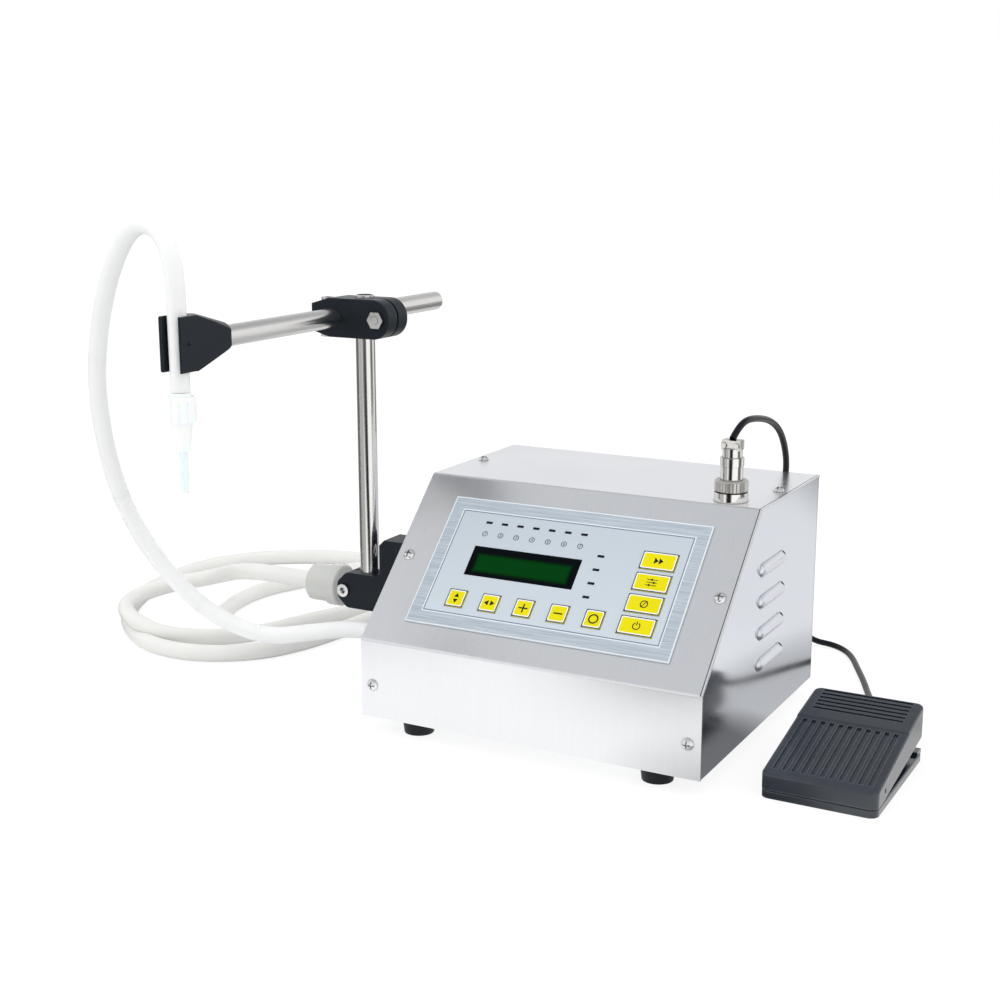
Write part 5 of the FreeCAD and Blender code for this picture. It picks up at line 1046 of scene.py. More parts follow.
@dataclass
class Cabinet:
    """The sheet steel cabinet with its feet, screws, fittings and what is inside."""

    finishes: Finishes = (
        (Look.COVER, ("cover",)),
        (Look.SIDE, ("side_panel_left", "side_panel_right", "base_plate", "back_panel")),
        (Look.RUBBER, ("rubber_feet",)),
        (Look.ZINC, ("cabinet_screws",)),
        (Look.PUMP, ("pump_housing", "drive_gear", "idler_gear")),
        (Look.SUPPLY, ("pump_mount", "power_supply")),
        (Look.MOTOR, ("pump_motor",)),
        (Look.SOCKET, ("back_fittings", "rocker_paddle")))
    slope_foot: tuple[float, float] = (0.0, 50.0)
    slope_top: tuple[float, float] = (90.0, 138.0)
    top_back: tuple[float, float] = (201.3, 138.0)
    seam_low: float = 0.6
    seam_from: float = 1.3
    seam_to: float = 2.4
    seam_stop: float = 1.5
    seam_face: float = 112.1
    edge_from: float = 0.1
    edge_face: float = 112.5
    edge_thick: float = 0.06
    rim_right: float = 112.48
    highlight_wide: float = 1.1
    shadow_wide: float = 0.5
    louvre_count: int = 4
    louvre_low: float = 40.2
    louvre_pitch: float = 19.8
    louvre_y: float = 112.3
    louvre_half: float = 17.4
    louvre_axis: float = 110.2
    louvre_radius: float = 4.80
    louvre_base: float = 112.2
    skin_levels: int = 9
    skin_steps: int = 36
    mouth_radius: float = 4.88
    mouth_rings: int = 3
    mouth_steps: int = 14
    mouth_aim: Point = (0.72, 0.22, 0.66)
    mouth_along: Point = (0.0, 0.75, -0.66)
    end_shade_reach: tuple[float, float] = (0.46, 0.30)

    def build(self) -> None:
        """Dresses the cabinet's nodes and builds its trim."""
        dress(self.finishes)
        self.edge_strip("cover_seam", self.seam_from, self.seam_to, self.seam_face, Look.SEAM)
        self.edge_strip("cover_edge", self.edge_from, self.seam_from, self.edge_face, Look.EDGE)
        self.louvre_skins()
        # Painted shade on the rear end of each louvre dome.
        self.louvre_end_shades()
        # Painted highlight along the right edge of the slope and top, with a painted shadow line
        # inside it.
        self.rim("painted_highlight_rim", 0.0, self.highlight_wide, 0.06, Look.EDGE)
        self.rim("painted_shadow_rim", self.highlight_wide, self.highlight_wide + self.shadow_wide, 0.05, Look.SEAM)
        LOG.info("cabinet dressed")

    def edge_strip(self, name: str, near: float, far: float, face: float, look: Look) -> None:
        """A thin strip on the right side that follows the cover's front and slope edges.

        Args:
            name: The piece's name.
            near: Its distance inside the cover's outline, in millimetres.
            far: Where it ends inside the outline.
            face: How far to the right it lies.
            look: Its finish.
        """
        low, bend, high = (Vector(p) for p in ((0.0, self.seam_low), self.slope_foot,
                                               self.slope_top))
        slope = (high - bend).normalized()
        inward = Vector((slope.y, -slope.x))
        verts, faces = [], []
        for inset in (near, far):
            run = (inset - inward.x * inset) / slope.x
            places = (low + Vector((inset, 0.0)), bend + inward * inset + slope * run,
                      high + inward * inset - slope * self.seam_stop)
            for y, z in places:
                for x in (face, face + self.edge_thick):
                    verts.append(CABINET.point(x, y, z))
        for k in (0, 2):
            faces += [(k, k + 2, k + 8, k + 6), (k + 1, k + 3, k + 9, k + 7),
                      (k, k + 1, k + 3, k + 2), (k + 6, k + 7, k + 9, k + 8)]
        faces += [(0, 1, 7, 6), (4, 5, 11, 10)]
        mesh_piece(name, verts, faces, look, "machine")

    def rim(self, name: str, near: float, far: float, lift: float, look: Look) -> None:
        """A thin strip along the right edge of the slope and the top.

        Args:
            name: The piece's name.
            near: Its distance inside the right edge, in millimetres.
            far: Where it ends inside the edge.
            lift: How far it stands off the sheet.
            look: Its finish.
        """
        places = ((self.slope_foot, (-0.85, 0.45)), (self.slope_top, (-0.40, 0.91)),
                  (self.top_back, (0.0, 1.0)))
        verts = [CABINET.point(self.rim_right - inset, *(Vector(place) + Vector(out) * height))
                 for place, out in places for inset in (near, far) for height in (0.0, lift)]
        faces = [(0, 1, 3, 2), (8, 10, 11, 9)]
        for k in (0, 4):
            faces += [(k, k + 4, k + 5, k + 1), (k + 2, k + 3, k + 7, k + 6),
                      (k + 1, k + 5, k + 7, k + 3), (k, k + 2, k + 6, k + 4)]
        mesh_piece(name, verts, faces, look, "machine")

    def louvre_skins(self) -> None:
        """The soft dome of each louvre, paler than the side steel as a painted highlight."""
        verts, faces = [], []
        levels, steps = self.skin_levels, self.skin_steps
        for index in range(self.louvre_count):
            high = self.louvre_low + index * self.louvre_pitch
            first = len(verts)
            low = math.asin((self.louvre_base - self.louvre_axis) / self.louvre_radius)
            for level in range(levels):
                rise = low + (math.pi / 2 - low) * level / (levels - 1) * 0.995
                radius = self.louvre_radius * math.cos(rise)
                out = self.louvre_axis + self.louvre_radius * math.sin(rise)
                for k in range(steps):
                    turn = 2 * math.pi * (k + 0.5) / steps
                    end = math.copysign(self.louvre_half, math.cos(turn))
                    verts.append(CABINET.point(out, self.louvre_y + end + radius * math.cos(turn),
                                               high + radius * math.sin(turn)))
            for level in range(levels - 1):
                a = first + level * steps
                for k in range(steps):
                    m = (k + 1) % steps
                    faces.append((a + k, a + m, a + steps + m, a + steps + k))
            faces.append(tuple(range(first + (levels - 1) * steps, first + levels * steps)))
        mesh_piece("louvre_skins", verts, faces, Look.LOUVRE, "machine", True)

    def louvre_end_shades(self) -> None:
        """A painted shade patch on the rear end of each louvre's dome."""
        verts, faces = [], []
        rings, steps = self.mouth_rings, self.mouth_steps
        far, wide = self.end_shade_reach
        middle = Vector(self.mouth_aim).normalized()
        along = Vector(self.mouth_along).normalized()
        along = (along - middle * along.dot(middle)).normalized()
        across = middle.cross(along)
        for index in range(self.louvre_count):
            centre = Vector((self.louvre_axis, self.louvre_y + self.louvre_half,
                             self.louvre_low + index * self.louvre_pitch))
            first = len(verts)
            verts.append(CABINET.point(*(centre + middle * self.mouth_radius)))
            for ring in range(1, rings + 1):
                for k in range(steps):
                    turn = 2 * math.pi * k / steps
                    share = ring / rings
                    aim = (middle + along * (far * share * math.cos(turn))
                           + across * (wide * share * math.sin(turn))).normalized()
                    verts.append(CABINET.point(*(centre + aim * self.mouth_radius)))
            for k in range(steps):
                m = (k + 1) % steps
                faces.append((first, first + 1 + k, first + 1 + m))
                for ring in range(rings - 1):
                    a = first + 1 + ring * steps
                    faces.append((a + k, a + steps + k, a + steps + m, a + m))
        mesh_piece("louvre_end_shades", verts, faces, Look.SEAM, "machine", True)


# Keypad

@dataclass
class Keypad:
    """The keypad on the slope: overlay, key outlines, icons, numbers, lamps and display."""

    finishes: Finishes = (
        (Look.OVERLAY, ("keypad_overlay",)), (Look.WINDOW, ("display_glass",)),
        (Look.BEZEL, ("display_module",)), (Look.BOARD, ("control_board",)),
        (Look.LAMP, ("indicator_lamps",)))
    lift: float = 1.02
    print_thick: float = 0.03
    key_top: float = 1.52
    small_keys: tuple[tuple[str, float], ...] = (
        ("key_up_down", -59.0), ("key_left_right", -35.8), ("key_plus", -12.6),
        ("key_minus", 10.6), ("key_circle", 33.8))
    small_s: float = 36.8
    wide_keys: tuple[tuple[str, float], ...] = (
        ("key_power", 36.4), ("key_clear", 51.25), ("key_setting", 66.1), ("key_run", 80.95))
    wide_x: float = 61.3
    key_size: float = 12.2
    wide_size: float = 22.4
    lamp_xs: tuple[float, ...] = (-57.6, -46.6, -35.6, -24.6, -13.6, -2.6, 8.4)
    number_s: float = 84.5
    number_size: float = 0.0027
    outline_insets: tuple[float, float, float] = (0.02, 1.25, 2.5)
    key_corner: float = 1.2
    ring_radii: tuple[float, float] = (1.85, 1.45)
    matrix: Matrix = field(default_factory=CABINET.slope_matrix)

    def flat_piece(self, name: str, outlines: Sequence[Outline], height: float, look: Look,
                   body: str) -> bpy.types.Object:
        """A thin print made of filled outlines on the slope.

        Args:
            name: The piece's name.
            outlines: Closed outlines as (across, along) points in millimetres.
            height: How far its underside stands off the slope, in millimetres.
            look: Its finish.
            body: The body that it rides on.

        Returns:
            The piece.
        """
        verts, faces = [], []
        for outline in outlines:
            start = len(verts)
            count = len(outline)
            for level in (height, height + self.print_thick):
                for x, s in outline:
                    verts.append(self.matrix @ Vector(mm(x, s, level)))
            faces.append(tuple(range(start, start + count)))
            faces.append(tuple(range(start + count, start + 2 * count)))
            for k in range(count):
                m = (k + 1) % count
                faces.append((start + k, start + m, start + count + m, start + count + k))
        return mesh_piece(name, verts, faces, look, body)

    def band(self, outline: Outline, inner: Outline) -> list[Outline]:
        """The quads between an outer and an inner outline with as many points."""
        count = len(outline)
        return [[outline[k], outline[(k + 1) % count], inner[(k + 1) % count], inner[k]]
                for k in range(count)]

    def rounded(self, x: float, s: float, wide: float, tall: float, radius: float,
                steps: int = 5) -> Outline:
        """A rectangle with rounded corners.

        Args:
            x: Its middle across, in millimetres.
            s: Its middle along the slope, in millimetres.
            wide: Its width.
            tall: Its height.
            radius: Its corners' radius.
            steps: Steps round each corner.

        Returns:
            The points round its middle.
        """
        points = []
        for cx, cy, first in ((1, 1, 0), (-1, 1, 90), (-1, -1, 180), (1, -1, 270)):
            for k in range(steps + 1):
                angle = math.radians(first + 90 * k / steps)
                points.append((x + cx * (wide / 2 - radius) + radius * math.cos(angle),
                               s + cy * (tall / 2 - radius) + radius * math.sin(angle)))
        return points

    def ring(self, x: float, s: float, outer: float, inner: float,
             steps: int = 28) -> list[Outline]:
        """A flat ring.

        Args:
            x: Its middle across, in millimetres.
            s: Its middle along the slope, in millimetres.
            outer: Its outer radius.
            inner: Its inner radius.
            steps: How many quads it has.

        Returns:
            Its quads as outlines.
        """
        loops = [[(x + r * math.cos(2 * math.pi * k / steps), s + r * math.sin(
            2 * math.pi * k / steps)) for k in range(steps)] for r in (outer, inner)]
        return self.band(*loops)

    def bar(self, x: float, s: float, left: float, low: float, right: float,
            high: float) -> Outline:
        """A rectangle whose sides lie at distances from a middle point.

        Args:
            x: The middle across, in millimetres.
            s: The middle along the slope, in millimetres.
            left: How far its left side lies to the right of the middle.
            low: How far its lower side lies above the middle.
            right: How far its right side lies to the right of the middle.
            high: How far its upper side lies above the middle.

        Returns:
            Its corners.
        """
        return [(x + left, s + low), (x + right, s + low), (x + right, s + high),
                (x + left, s + high)]

    def icon(self, name: str, x: float, s: float) -> list[Outline]:
        """The outlines of a key's plain sign.

        Args:
            name: The key's node.
            x: Its middle across, in millimetres.
            s: Its middle along the slope, in millimetres.

        Returns:
            Closed outlines in millimetres.
        """
        if name == "key_up_down":
            return [[(x - 1.6, s + 0.7), (x + 1.6, s + 0.7), (x, s + 3.5)],
                    [(x - 1.6, s - 0.7), (x, s - 3.5), (x + 1.6, s - 0.7)]]
        if name == "key_left_right":
            return [[(x - 0.7, s - 1.8), (x - 0.7, s + 1.8), (x - 3.6, s)],
                    [(x + 0.7, s - 1.8), (x + 3.6, s), (x + 0.7, s + 1.8)]]
        if name == "key_plus":
            return [self.bar(x, s, -3.0, -0.45, 3.0, 0.45),
                    self.bar(x, s, -0.45, 0.45, 0.45, 3.0),
                    self.bar(x, s, -0.45, -3.0, 0.45, -0.45)]
        if name == "key_minus":
            return [self.bar(x, s, -2.9, -0.45, 2.9, 0.45)]
        if name == "key_circle":
            return self.ring(x, s, 3.2, 2.35)
        if name == "key_power":
            arcs = self.ring(x, s, 2.5, 1.9, 24)
            return arcs[:4] + arcs[8:] + [self.bar(x, s, -0.3, 0.5, 0.3, 3.0)]
        if name == "key_clear":
            slant = [(x - 1.9, s - 2.2), (x - 1.3, s - 2.2), (x + 1.9, s + 2.2), (x + 1.3, s + 2.2)]
            return self.ring(x, s, 2.5, 1.9) + [slant]
        if name == "key_setting":
            bars = []
            for k, knob in enumerate((-1.2, 1.4, -0.2)):
                level = s + (k - 1) * 1.9
                bars += [self.bar(x, level, -3.4, -0.22, 3.4, 0.22),
                         self.bar(x + knob, level, -0.5, -0.75, 0.5, 0.75)]
            return bars
        return [[(x - 2.8, s - 2.2), (x - 2.8, s + 2.2), (x - 0.1, s)],
                [(x + 0.2, s - 2.2), (x + 0.2, s + 2.2), (x + 2.9, s)]]

    def number(self, digit: int, x: float, s: float) -> bpy.types.Object:
        """One plain figure inside its ring, as a thin mesh.

        Args:
            digit: The figure.
            x: Its middle across, in millimetres.
            s: Its middle along the slope, in millimetres.

        Returns:
            The piece.
        """
        data = bpy.data.curves.new(f"figure_{digit}", "FONT")
        data.body = str(digit)
        data.size = self.number_size
        data.align_x = "CENTER"
        data.align_y = "CENTER"
        data.extrude = 0.00002
        thing = bpy.data.objects.new(f"figure_source_{digit}", data)
        bpy.context.scene.collection.objects.link(thing)
        bpy.context.view_layer.update()
        mesh = bpy.data.meshes.new_from_object(
            thing.evaluated_get(bpy.context.evaluated_depsgraph_get()))
        bpy.data.objects.remove(thing)
        mesh.transform(self.matrix @ Matrix.Translation(Vector(mm(x, s, self.lift + 0.02))))
        piece = bpy.data.objects.new(f"figure_{digit}", mesh)
        bpy.context.scene.collection.objects.link(piece)
        mesh.materials.clear()
        mesh.materials.append(Look.PRINT.material())
        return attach(piece, "machine")

    def build(self) -> None:
        """Builds the prints and dresses the keypad's nodes."""
        dress(self.finishes)
        places = [(name, x, self.small_s, self.key_size) for name, x in self.small_keys]
        places += [(name, self.wide_x, s, self.wide_size) for name, s in self.wide_keys]
        dress(((Look.KEY, tuple(place[0] for place in places)),))
        for name, x, s, wide in places:
            edges = [self.rounded(x, s, wide - d, self.key_size - d, self.key_corner - d / 4)
                     for d in self.outline_insets]
            for title, outlines, look in (
                    ("icon_", self.icon(name, x, s), Look.PRINT),
                    ("outline_", self.band(edges[0], edges[1]), Look.KEY_LINE),
                    ("rim_", self.band(edges[1], edges[2]), Look.KEY_RIM)):
                self.flat_piece(name.replace("key_", title), outlines, self.key_top, look, name)
        rings: list[Outline] = []
        for digit, x in enumerate(self.lamp_xs, start=1):
            rings += self.ring(x, self.number_s, *self.ring_radii, 24)
            self.number(digit, x, self.number_s)
        self.flat_piece("figure_rings", rings, self.lift, Look.PRINT, "machine")
        LOG.info("keypad built: %d keys", len(places))


# Stand

@dataclass
class Stand:
    """The rods, their clamps and the hose holder."""

    finishes: Finishes = (
        (Look.ROD, ("stand_rod",)), (Look.ARM, ("arm_rod",)),
        (Look.NYLON, ("stand_bracket", "cross_clamp", "hose_holder", "holder_set_screw")),
        (Look.ZINC, ("bracket_screws", "cross_clamp_bolts")))

    def build(self) -> None:
        """Dresses the stand's nodes."""
        dress(self.finishes)
        LOG.info("stand dressed")


# Hoses and cable

@dataclass(frozen=True)
class HoseLength:
    """One length of the outlet hose: its node, the route's run that it ends in, its own length
    in metres, the body that it starts on and the body at its far end.
    """

    name: str
    last: int | None
    length: float
    body: str
    onto: str | None


@dataclass
class Hoses:
    """Outlet hose in five lengths, suction hose, strainer, fittings and nozzle."""

    finishes: Finishes = (
        (Look.HOSE, ("inlet_stub_hose",)), (Look.STRAINER, ("inlet_strainer",)),
        (Look.ZINC, ("strainer_screen",)), (Look.WHITE, ("filling_nozzle",)),
        (Look.NICKEL, ("hose_fittings",)))
    outlet_radius: float = 0.0055
    suction_radius: float = 0.0060
    wall: float = 0.0016
    outlet_route: tuple[Point, ...] = (
        (-118.8, 38, 42), (-141, 38, 42), (-170, 30, 37), (-199, 19, 32), (-230, 9, 43),
        (-251, 0, 62), (-267, -9, 86), (-279, -18, 114), (-282, -28, 145), (-279, -38, 176),
        (-271, -49, 206), (-258, -59, 236), (-241, -69, 265), (-222, -78, 288.5),
        (-205, -85, 302), (-188, -91.5, 306), (-172, -97, 300.5), (-162.5, -101, 285.5),
        (-160.5, -102, 262), (-160.5, -102, 214.3))
    lengths: tuple[HoseLength, ...] = (
        HoseLength("outlet_hose_lower", 4, 0.132, "machine", "stand"),
        HoseLength("outlet_hose_rise", 7, 0.093, "stand", "clamp"),
        HoseLength("outlet_hose_middle", 10, 0.099, "clamp", "arm"),
        HoseLength("outlet_hose_arch", 13, 0.097, "arm", "holder"),
        HoseLength("outlet_hose_end", None, 0.136, "holder", None))
    suction_length: float = 1.537
    suction_route: tuple[Point, ...] = (
        (-208.3, 86, 53), (-244, 86, 54), (-281, 101, 47), (-316, 130, 34), (-351, 147, 21),
        (-380, 142, 14), (-393, 118, 10.5), (-386, 90, 9.2), (-362, 70, 7.5), (-331, 66, 1),
        (-300, 89, -3.6), (-276, 121, -4), (-264, 162, -4), (-247, 198, -4), (-238, 236, -4),
        (-243, 276, -4), (-266, 310, -4), (-304, 330, -4), (-346, 328, -4), (-389, 308, -4),
        (-422, 278, -4), (-437, 238, -4), (-435, 196, -4), (-424, 152, -4), (-403, 113, -4),
        (-372, 80, -4), (-334, 56, -4), (-292, 54, -4), (-254, 77, -4), (-237, 114, -4),
        (-230, 154, -3.75), (-218, 192, -1), (-216, 230, 7), (-236, 258, 12), (-268, 268, 12),
        (-304, 266, 4), (-334, 246, -3.6), (-348, 212, -4), (-345, 172, -4), (-336, 148, -4),
        (-335.5, 139.5, -4))

    def outlet(self) -> None:
        """Builds the outlet hose in lengths, the last riding on its body and the rest unparented.
        """
        route = [tuple(CABINET.point(*p)) for p in self.outlet_route]
        line = centreline(route)
        first = 0
        for part in self.lengths:
            if part.last is None:
                stop = len(line) - 1
            else:
                middle = (Vector(route[part.last]) + Vector(route[part.last + 1])) / 2
                stop = min(range(len(line)), key=lambda k: (line[k] - middle).length)
            points = line[first:stop + 1]
            hose = hollow_tube(part.name.replace("hose", "tube"), points, self.outlet_radius,
                               self.outlet_radius - self.wall, Look.OUTLET,
                               ends=(first == 0, part.last is None))
            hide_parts(part.name)
            if part.onto:
                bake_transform(hose)
            else:
                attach(hose, part.body)
            first = stop
            LOG.info("%s built, %d points", part.name, len(points))

    def suction(self) -> None:
        """Builds the suction hose with its loops on the worktop."""
        route = [tuple(CABINET.point(*p)) for p in self.suction_route]
        points = centreline(route)
        hose = hollow_tube("suction_hose_run", points, self.suction_radius,
                           self.suction_radius - self.wall, Look.HOSE)
        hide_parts("suction_hose")
        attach(hose, "machine")
        LOG.info("suction hose built, %d points", len(points))

    def build(self) -> None:
        """Builds both hoses and dresses their fittings."""
        self.outlet()
        self.suction()
        dress(self.finishes)


@dataclass
class Connector:
    """The round connector on the top sheet, the pedal's cable and its coil behind the cabinet."""

    finishes: Finishes = (
        (Look.NICKEL, ("pedal_socket", "plug_body")), (Look.KNURL, ("plug_ring",)))
    cable_radius: float = 0.0021
    cable_length: float = 1.190
    plug_route: tuple[Point, ...] = (
        (87.8, 103.2, 175.9), (89, 108.8, 181.5), (90.6, 119.5, 185.4), (91.8, 139, 183.4),
        (92.4, 159, 178.8), (92.2, 178, 169.8), (90.8, 193.5, 156.5), (88.4, 206.5, 141),
        (84, 214.5, 120), (77, 218, 95), (67, 219, 69), (54, 220, 45), (41, 222, 23),
        (30, 227, 6), (22.8, 237.5, -4.4), (18.6, 251, -7.35), (18.6, 265.9, -7.9))
    pedal_route: tuple[Point, ...] = (
        (73.24, 306.32, -3.7), (85.5, 296.5, -5.8), (98, 299.5, -7.5), (109.5, 292, -7.9),
        (119, 278, -7.85), (128.5, 257, -7.9), (139, 234.5, -7.9), (149, 210, -7.8),
        (160, 184, -6.8), (169.5, 161, -2), (174, 146.5, 0.4), (174.3, 128, 0.5))
    coil_middle: tuple[float, float] = (46.0, 286.0)
    coil_radius: float = 27.4
    coil_enter: float = 180.0
    coil_leave: float = 73.0
    coil_rounds: int = 4
    turn_points: int = 15
    tie_angle: float = 300.0
    tie_wide: float = 5.0
    tie_corner: float = 1.2
    tie_faces: tuple[float, float] = (0.1, 0.8)

    @property
    def thick(self) -> float:
        """The cable's thickness, in millimetres."""
        return 2 * MM_PER_METRE * self.cable_radius

    @property
    def turned(self) -> float:
        """How far the coil turns, in degrees."""
        return self.coil_enter - self.coil_leave + 360.0 * self.coil_rounds

    @property
    def inner(self) -> float:
        """The radius of the coil's innermost turn, in millimetres."""
        return self.coil_radius - self.thick * self.turned / 720.0

    def coil_points(self) -> list[Point]:
        """The coil's control points, in the cabinet's frame in millimetres.

        Returns:
            Two layers of turns, in and out again, with a straight point before and after.
        """
        thick, total, inner = self.thick, self.turned, self.inner
        low = thick / 2 - CABINET.z
        count = math.ceil(total * self.turn_points / 360.0)
        step = total / count
        push = 1.0 / math.cos(math.radians(step / 2))
        half = self.coil_radius * math.tan(math.radians(step / 2))
        cx, cy = self.coil_middle
        points = [(cx - self.coil_radius, cy - half, low)]
        for k in range(count):
            turned = (k + 0.5) * step
            share = abs(1.0 - 2.0 * turned / total)
            radius = (inner + (self.coil_radius - inner) * share) * push
            climb = min(1.0, max(0.0, 0.5 + (turned - total / 2) / 60.0))
            angle = math.radians(self.coil_enter - turned)
            points.append((cx + radius * math.cos(angle), cy + radius * math.sin(angle),
                           low + thick * climb))
        leave = math.radians(self.coil_leave)
        points.append((cx + self.coil_radius * math.cos(leave) + half * math.sin(leave),
                       cy + self.coil_radius * math.sin(leave) - half * math.cos(leave),
                       low + thick))
        return points

    def tie_loop(self, grow: float) -> Outline:
        """The strap's outline in a cut through the coil, with rounded corners.

        Args:
            grow: How far it lies outside the turns, in millimetres.

        Returns:
            Points as (outwards, up) in the cabinet's frame, in millimetres.
        """
        corner = self.tie_corner
        near, far = self.inner - self.thick / 2, self.coil_radius + self.thick / 2
        top = 2 * self.thick - CABINET.z
        floor = 0.02 - CABINET.z
        points = []
        for x, z, first in ((far - corner, top - corner, 0), (near + corner, top - corner, 90),
                            (near + corner, floor + corner, 180),
                            (far - corner, floor + corner, 270)):
            for k in range(5):
                turn = math.radians(first + 22.5 * k)
                points.append((x + (corner + grow) * math.cos(turn),
                               max(floor, z + (corner + grow) * math.sin(turn))))
        return points

    def tie(self) -> bpy.types.Object:
        """The strap round the coil's turns.

        Returns:
            The piece.
        """
        angle = math.radians(self.tie_angle)
        radial = Vector((math.cos(angle), math.sin(angle), 0.0))
        across = Vector((-math.sin(angle), math.cos(angle), 0.0))
        middle = Vector((*self.coil_middle, 0.0))
        verts, faces = [], []
        for grow in self.tie_faces:
            for side in (-self.tie_wide / 2, self.tie_wide / 2):
                for out, z in self.tie_loop(grow):
                    spot = middle + radial * out + across * side
                    verts.append(CABINET.point(spot.x, spot.y, z))
        count = len(verts) // 4
        for k in range(count):
            m = (k + 1) % count
            for a, b in ((0, 1), (1, 3), (3, 2), (2, 0)):
                faces.append((a * count + k, a * count + m, b * count + m, b * count + k))
        return mesh_piece("coil_tie", verts, faces, Look.TIE, "machine")

    def cable(self) -> None:
        """Builds the cable as one smooth curve from the plug through its coil to the pedal."""
        data = bpy.data.curves.new("pedal_cable_run", "CURVE")
        data.dimensions = "3D"
        data.bevel_depth = self.cable_radius
        data.bevel_resolution = 6
        data.use_fill_caps = True
        places = [*self.plug_route, *self.coil_points(), *self.pedal_route]
        route = [tuple(CABINET.point(*p)) for p in places]
        add_spline(data, route, 8)
        data.materials.append(Look.CABLE.material())
        thing = bpy.data.objects.new("pedal_cable_run", data)
        bpy.context.scene.collection.objects.link(thing)
        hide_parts("pedal_cable", "cable_coil", "pedal_cable_end")
        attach(thing, "machine")
        self.tie()

    def build(self) -> None:
        """Builds the cable and dresses the connector."""
        self.cable()
        dress(self.finishes)
        LOG.info("connector and cable built")


# Foot pedal

@dataclass
class Pedal:
    """The foot pedal's base, treadle, pin, spring and switch."""

    finishes: Finishes = (
        (Look.PEDAL, ("pedal_base", "pedal_treadle")), (Look.CABLE, ("cable_relief",)),
        (Look.ZINC, ("pedal_pin",)), (Look.SPRING, ("pedal_spring",)),
        (Look.SOCKET, ("pedal_switch",)))

    def build(self) -> None:
        """Dresses the pedal's nodes."""
        dress(self.finishes)
        LOG.info("pedal dressed")


# Studio

@dataclass(frozen=True)
class Strip:
    """A dark strip of floor, seen only in polished metal.

    It runs outwards from a place, from a distance on, about a middle angle with a half width
    and a soft edge, in metres and degrees.
    """

    x: float
    y: float
    middle: float
    half: float
    soft: float
    depth: float
    start: float


@dataclass(frozen=True)
class Patch:
    """A soft dark oval of floor, seen only in polished metal: its middle, reach and depth."""

    x: float
    y: float
    reach_x: float
    reach_y: float
    depth: float


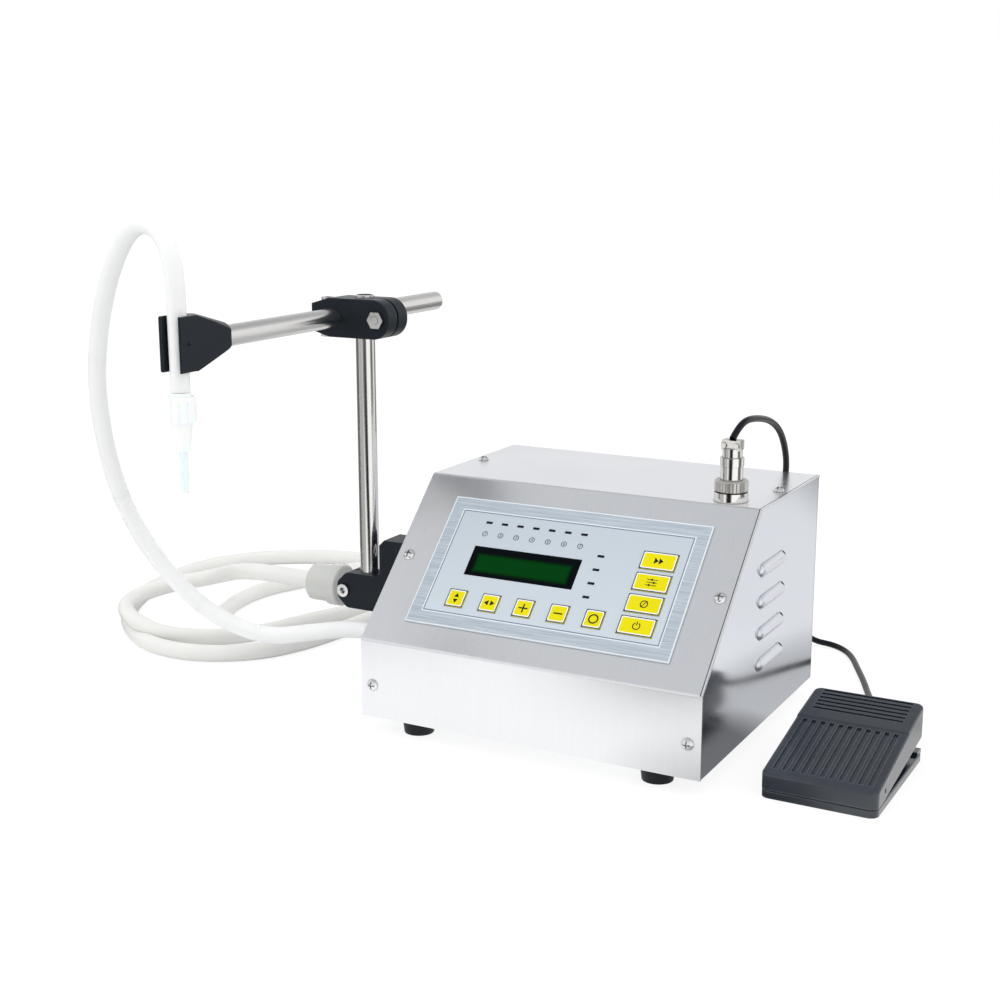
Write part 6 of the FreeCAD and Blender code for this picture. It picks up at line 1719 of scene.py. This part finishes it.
@dataclass
class Studio:
    """Floor, world, lamps and the camera at the photograph's viewing angle."""

    eye: Point = (408.7, -780.1, 349.1)
    target: Point = (-14.5, 0.0, 148.06)
    roll: float = -0.08
    lens: float = 56.88
    lamps: tuple[tuple[str, Point, float, float], ...] = (
        ("lamp_left", (-0.9, -0.9, 1.1), 0.9, 5.0),
        ("lamp_right", (1.2, 0.1, 1.0), 0.8, 3.0),
        ("lamp_top", (0.0, 0.2, 1.6), 1.2, 5.0))
    strips: tuple[Strip, ...] = (
        Strip(-0.143, 0.010, -63.0, 9.0, 8.0, 0.92, 0.24),
        Strip(-0.143, 0.010, -145.0, 40.0, 14.0, 0.55, 0.25),
        Strip(-0.143, 0.010, 72.0, 9.0, 6.0, 0.75, 0.25),
        Strip(0.089, 0.055, -88.0, 12.0, 8.0, 0.85, 0.30),
        Strip(0.089, 0.055, 12.0, 14.0, 8.0, 0.80, 0.14),
        Strip(0.089, 0.055, -178.0, 20.0, 12.0, 0.70, 0.45))
    patches: tuple[Patch, ...] = (
        Patch(-0.170, 0.120, 0.120, 0.140, 0.60), Patch(0.130, -0.085, 0.080, 0.050, 0.30),
        Patch(0.125, 0.110, 0.055, 0.200, 0.42), Patch(0.140, 0.015, 0.050, 0.075, 0.70))
    floor_half: float = 4.0
    white_floor: float = 1.06
    world_strength: float = 0.92
    sky_low: Colour = (1.0, 1.0, 1.01)
    sky_high: Colour = (0.62, 0.63, 0.65)
    wall: Colour = (0.08, 0.085, 0.10)
    wall_share: float = 0.45
    lamp_target: Point = (0.0, 0.0, 0.1)

    def camera(self) -> None:
        """Sets up the camera."""
        data = bpy.data.cameras.new("camera")
        data.lens = self.lens
        data.sensor_width = 36.0
        data.sensor_fit = "HORIZONTAL"
        data.clip_start = 0.01
        data.dof.use_dof = False
        camera = bpy.data.objects.new("camera", data)
        bpy.context.scene.collection.objects.link(camera)
        eye = CABINET.point(*self.eye)
        look = CABINET.point(*self.target) - eye
        turn = look.to_track_quat("-Z", "Y").to_matrix().to_4x4()
        camera.matrix_world = Matrix.Translation(eye) @ turn @ Matrix.Rotation(
            math.radians(self.roll), 4, "Z")
        bpy.context.scene.camera = camera

    def floor(self) -> None:
        """A pale floor that reads as white to the camera and keeps soft shadows."""
        mesh = bpy.data.meshes.new("studio_floor")
        half = self.floor_half
        mesh.from_pydata([(-half, -half, 0), (half, -half, 0), (half, half, 0), (-half, half, 0)],
                         [], [(0, 1, 2, 3)])
        thing = bpy.data.objects.new("studio_floor", mesh)
        bpy.context.scene.collection.objects.link(thing)
        material = bpy.data.materials.new("floor_paper")
        material.use_nodes = True
        n = Nodes(material.node_tree)
        n.tree.nodes.clear()
        out = n.add("OutputMaterial")
        paper = n.add("BsdfDiffuse")
        speck = n.noise(n.place(), 300.0, 3.0, 0.6)
        n.link(n.mix(speck, (0.88, 0.88, 0.88), (0.92, 0.92, 0.92)), paper.inputs["Color"])
        x, y, _ = n.parts(n.place())
        seen, shiny = n.rays()
        share = n.math("MULTIPLY", seen, n.spread(n.distance(x, y), 0.45, 0.9, 0.80, 1.0))
        white = n.add("Emission")
        n.link(n.math("ADD", n.math("MULTIPLY", seen, self.white_floor),
                      n.math("MULTIPLY", shiny, self.mirrored_floor(n, x, y))),
               white.inputs["Strength"])
        n.mix_shaders(n.math("MAXIMUM", share, shiny), paper, white, out)
        mesh.materials.append(material)

    def patch(self, n: Nodes, x: Socket, y: Socket, spot: Patch) -> Socket:
        """A soft oval that is dark in the middle.

        Args:
            n: The floor's node helper.
            x: The point's place across.
            y: Its place from front to back.
            spot: The oval.

        Returns:
            A factor for the floor's tone.
        """
        across = n.math("DIVIDE", n.math("SUBTRACT", x, spot.x), spot.reach_x)
        along = n.math("DIVIDE", n.math("SUBTRACT", y, spot.y), spot.reach_y)
        away = n.math("ADD", n.math("MULTIPLY", across, across), n.math("MULTIPLY", along, along))
        return n.spread(away, 0.35, 1.35, 1.0 - spot.depth, 1.0)

    def wedge(self, n: Nodes, x: Socket, y: Socket, strip: Strip) -> Socket:
        """A dark strip that runs out over the floor from a place.

        Args:
            n: The floor's node helper.
            x: The point's place across.
            y: Its place from front to back.
            strip: The strip.

        Returns:
            A factor for the floor's tone.
        """
        dx = n.math("SUBTRACT", x, strip.x)
        dy = n.math("SUBTRACT", y, strip.y)
        away = n.math("ABSOLUTE", n.math("SUBTRACT", n.math("ARCTAN2", dy, dx),
                                         math.radians(strip.middle)))
        away = n.math("MINIMUM", away, n.math("SUBTRACT", 2 * math.pi, away))
        half = math.radians(strip.half)
        inside = n.spread(away, half, half + math.radians(strip.soft), strip.depth, 0.0)
        begun = n.spread(n.distance(dx, dy), strip.start, strip.start + 0.04)
        return n.math("SUBTRACT", 1.0, n.math("MULTIPLY", inside, begun))

    def mirrored_floor(self, n: Nodes, x: Socket, y: Socket) -> Socket:
        """How bright the floor is in the polished metal: white in front, grey at the side.

        Args:
            n: The floor's node helper.
            x: The point's place across.
            y: Its place from front to back.

        Returns:
            The floor's tone.
        """
        tone = n.spread(y, -0.15, 0.30, 1.14, 0.86)
        for spot in self.patches:
            tone = n.math("MULTIPLY", tone, self.patch(n, x, y, spot))
        for strip in self.strips:
            tone = n.math("MULTIPLY", tone, self.wedge(n, x, y, strip))
        return tone

    def world(self) -> None:
        """White behind the object, soft grey light round it and darker overhead."""
        world = bpy.data.worlds.new("studio")
        world.use_nodes = True
        bpy.context.scene.world = world
        n = Nodes(world.node_tree)
        n.tree.nodes.clear()
        out = n.add("OutputWorld")
        ground = n.add("Background")
        _, y, height = n.parts(n.add("TexCoord").outputs["Generated"])
        seen, shiny = n.rays()
        sky = n.mix(n.spread(height, 0.35, 0.95), self.sky_low, self.sky_high)
        behind = n.math("MULTIPLY", n.spread(height, 0.40, 0.55),
                        n.math("MULTIPLY", n.spread(height, 0.72, 0.90, 1.0, 0.0),
                               n.spread(y, 0.05, 0.30)))
        sky = n.mix(n.math("MULTIPLY", behind, self.wall_share), sky, self.wall)
        n.link(n.mix(shiny, (1.0, 1.0, 1.0), sky), ground.inputs["Color"])
        ground.inputs["Strength"].default_value = self.world_strength
        white = n.add("Background")
        white.inputs["Color"].default_value = (1.0, 1.0, 1.0, 1.0)
        n.mix_shaders(seen, ground, white, out)

    def lights(self) -> None:
        """Large soft lamps round the object."""
        for name, place, size, power in self.lamps:
            data = bpy.data.lights.new(name, "AREA")
            data.shape = "SQUARE"
            data.size = size
            data.energy = power
            lamp = bpy.data.objects.new(name, data)
            bpy.context.scene.collection.objects.link(lamp)
            lamp.visible_glossy = False
            aim = Vector(self.lamp_target) - Vector(place)
            lamp.matrix_world = Matrix.Translation(place) @ aim.to_track_quat(
                "-Z", "Y").to_matrix().to_4x4()

    def build(self) -> None:
        """Builds the studio."""
        self.camera()
        self.floor()
        self.world()
        self.lights()
        bpy.context.scene.view_settings.view_transform = "Standard"
        LOG.info("studio built")


def main() -> None:
    """Builds the machine and the studio in order."""
    logging.basicConfig(level=logging.INFO)
    Studio().build()
    for assembly in (Hoses(), Connector(), Cabinet(), Keypad(), Stand(), Pedal()):
        assembly.build()


if __name__ == "__main__":
    main()
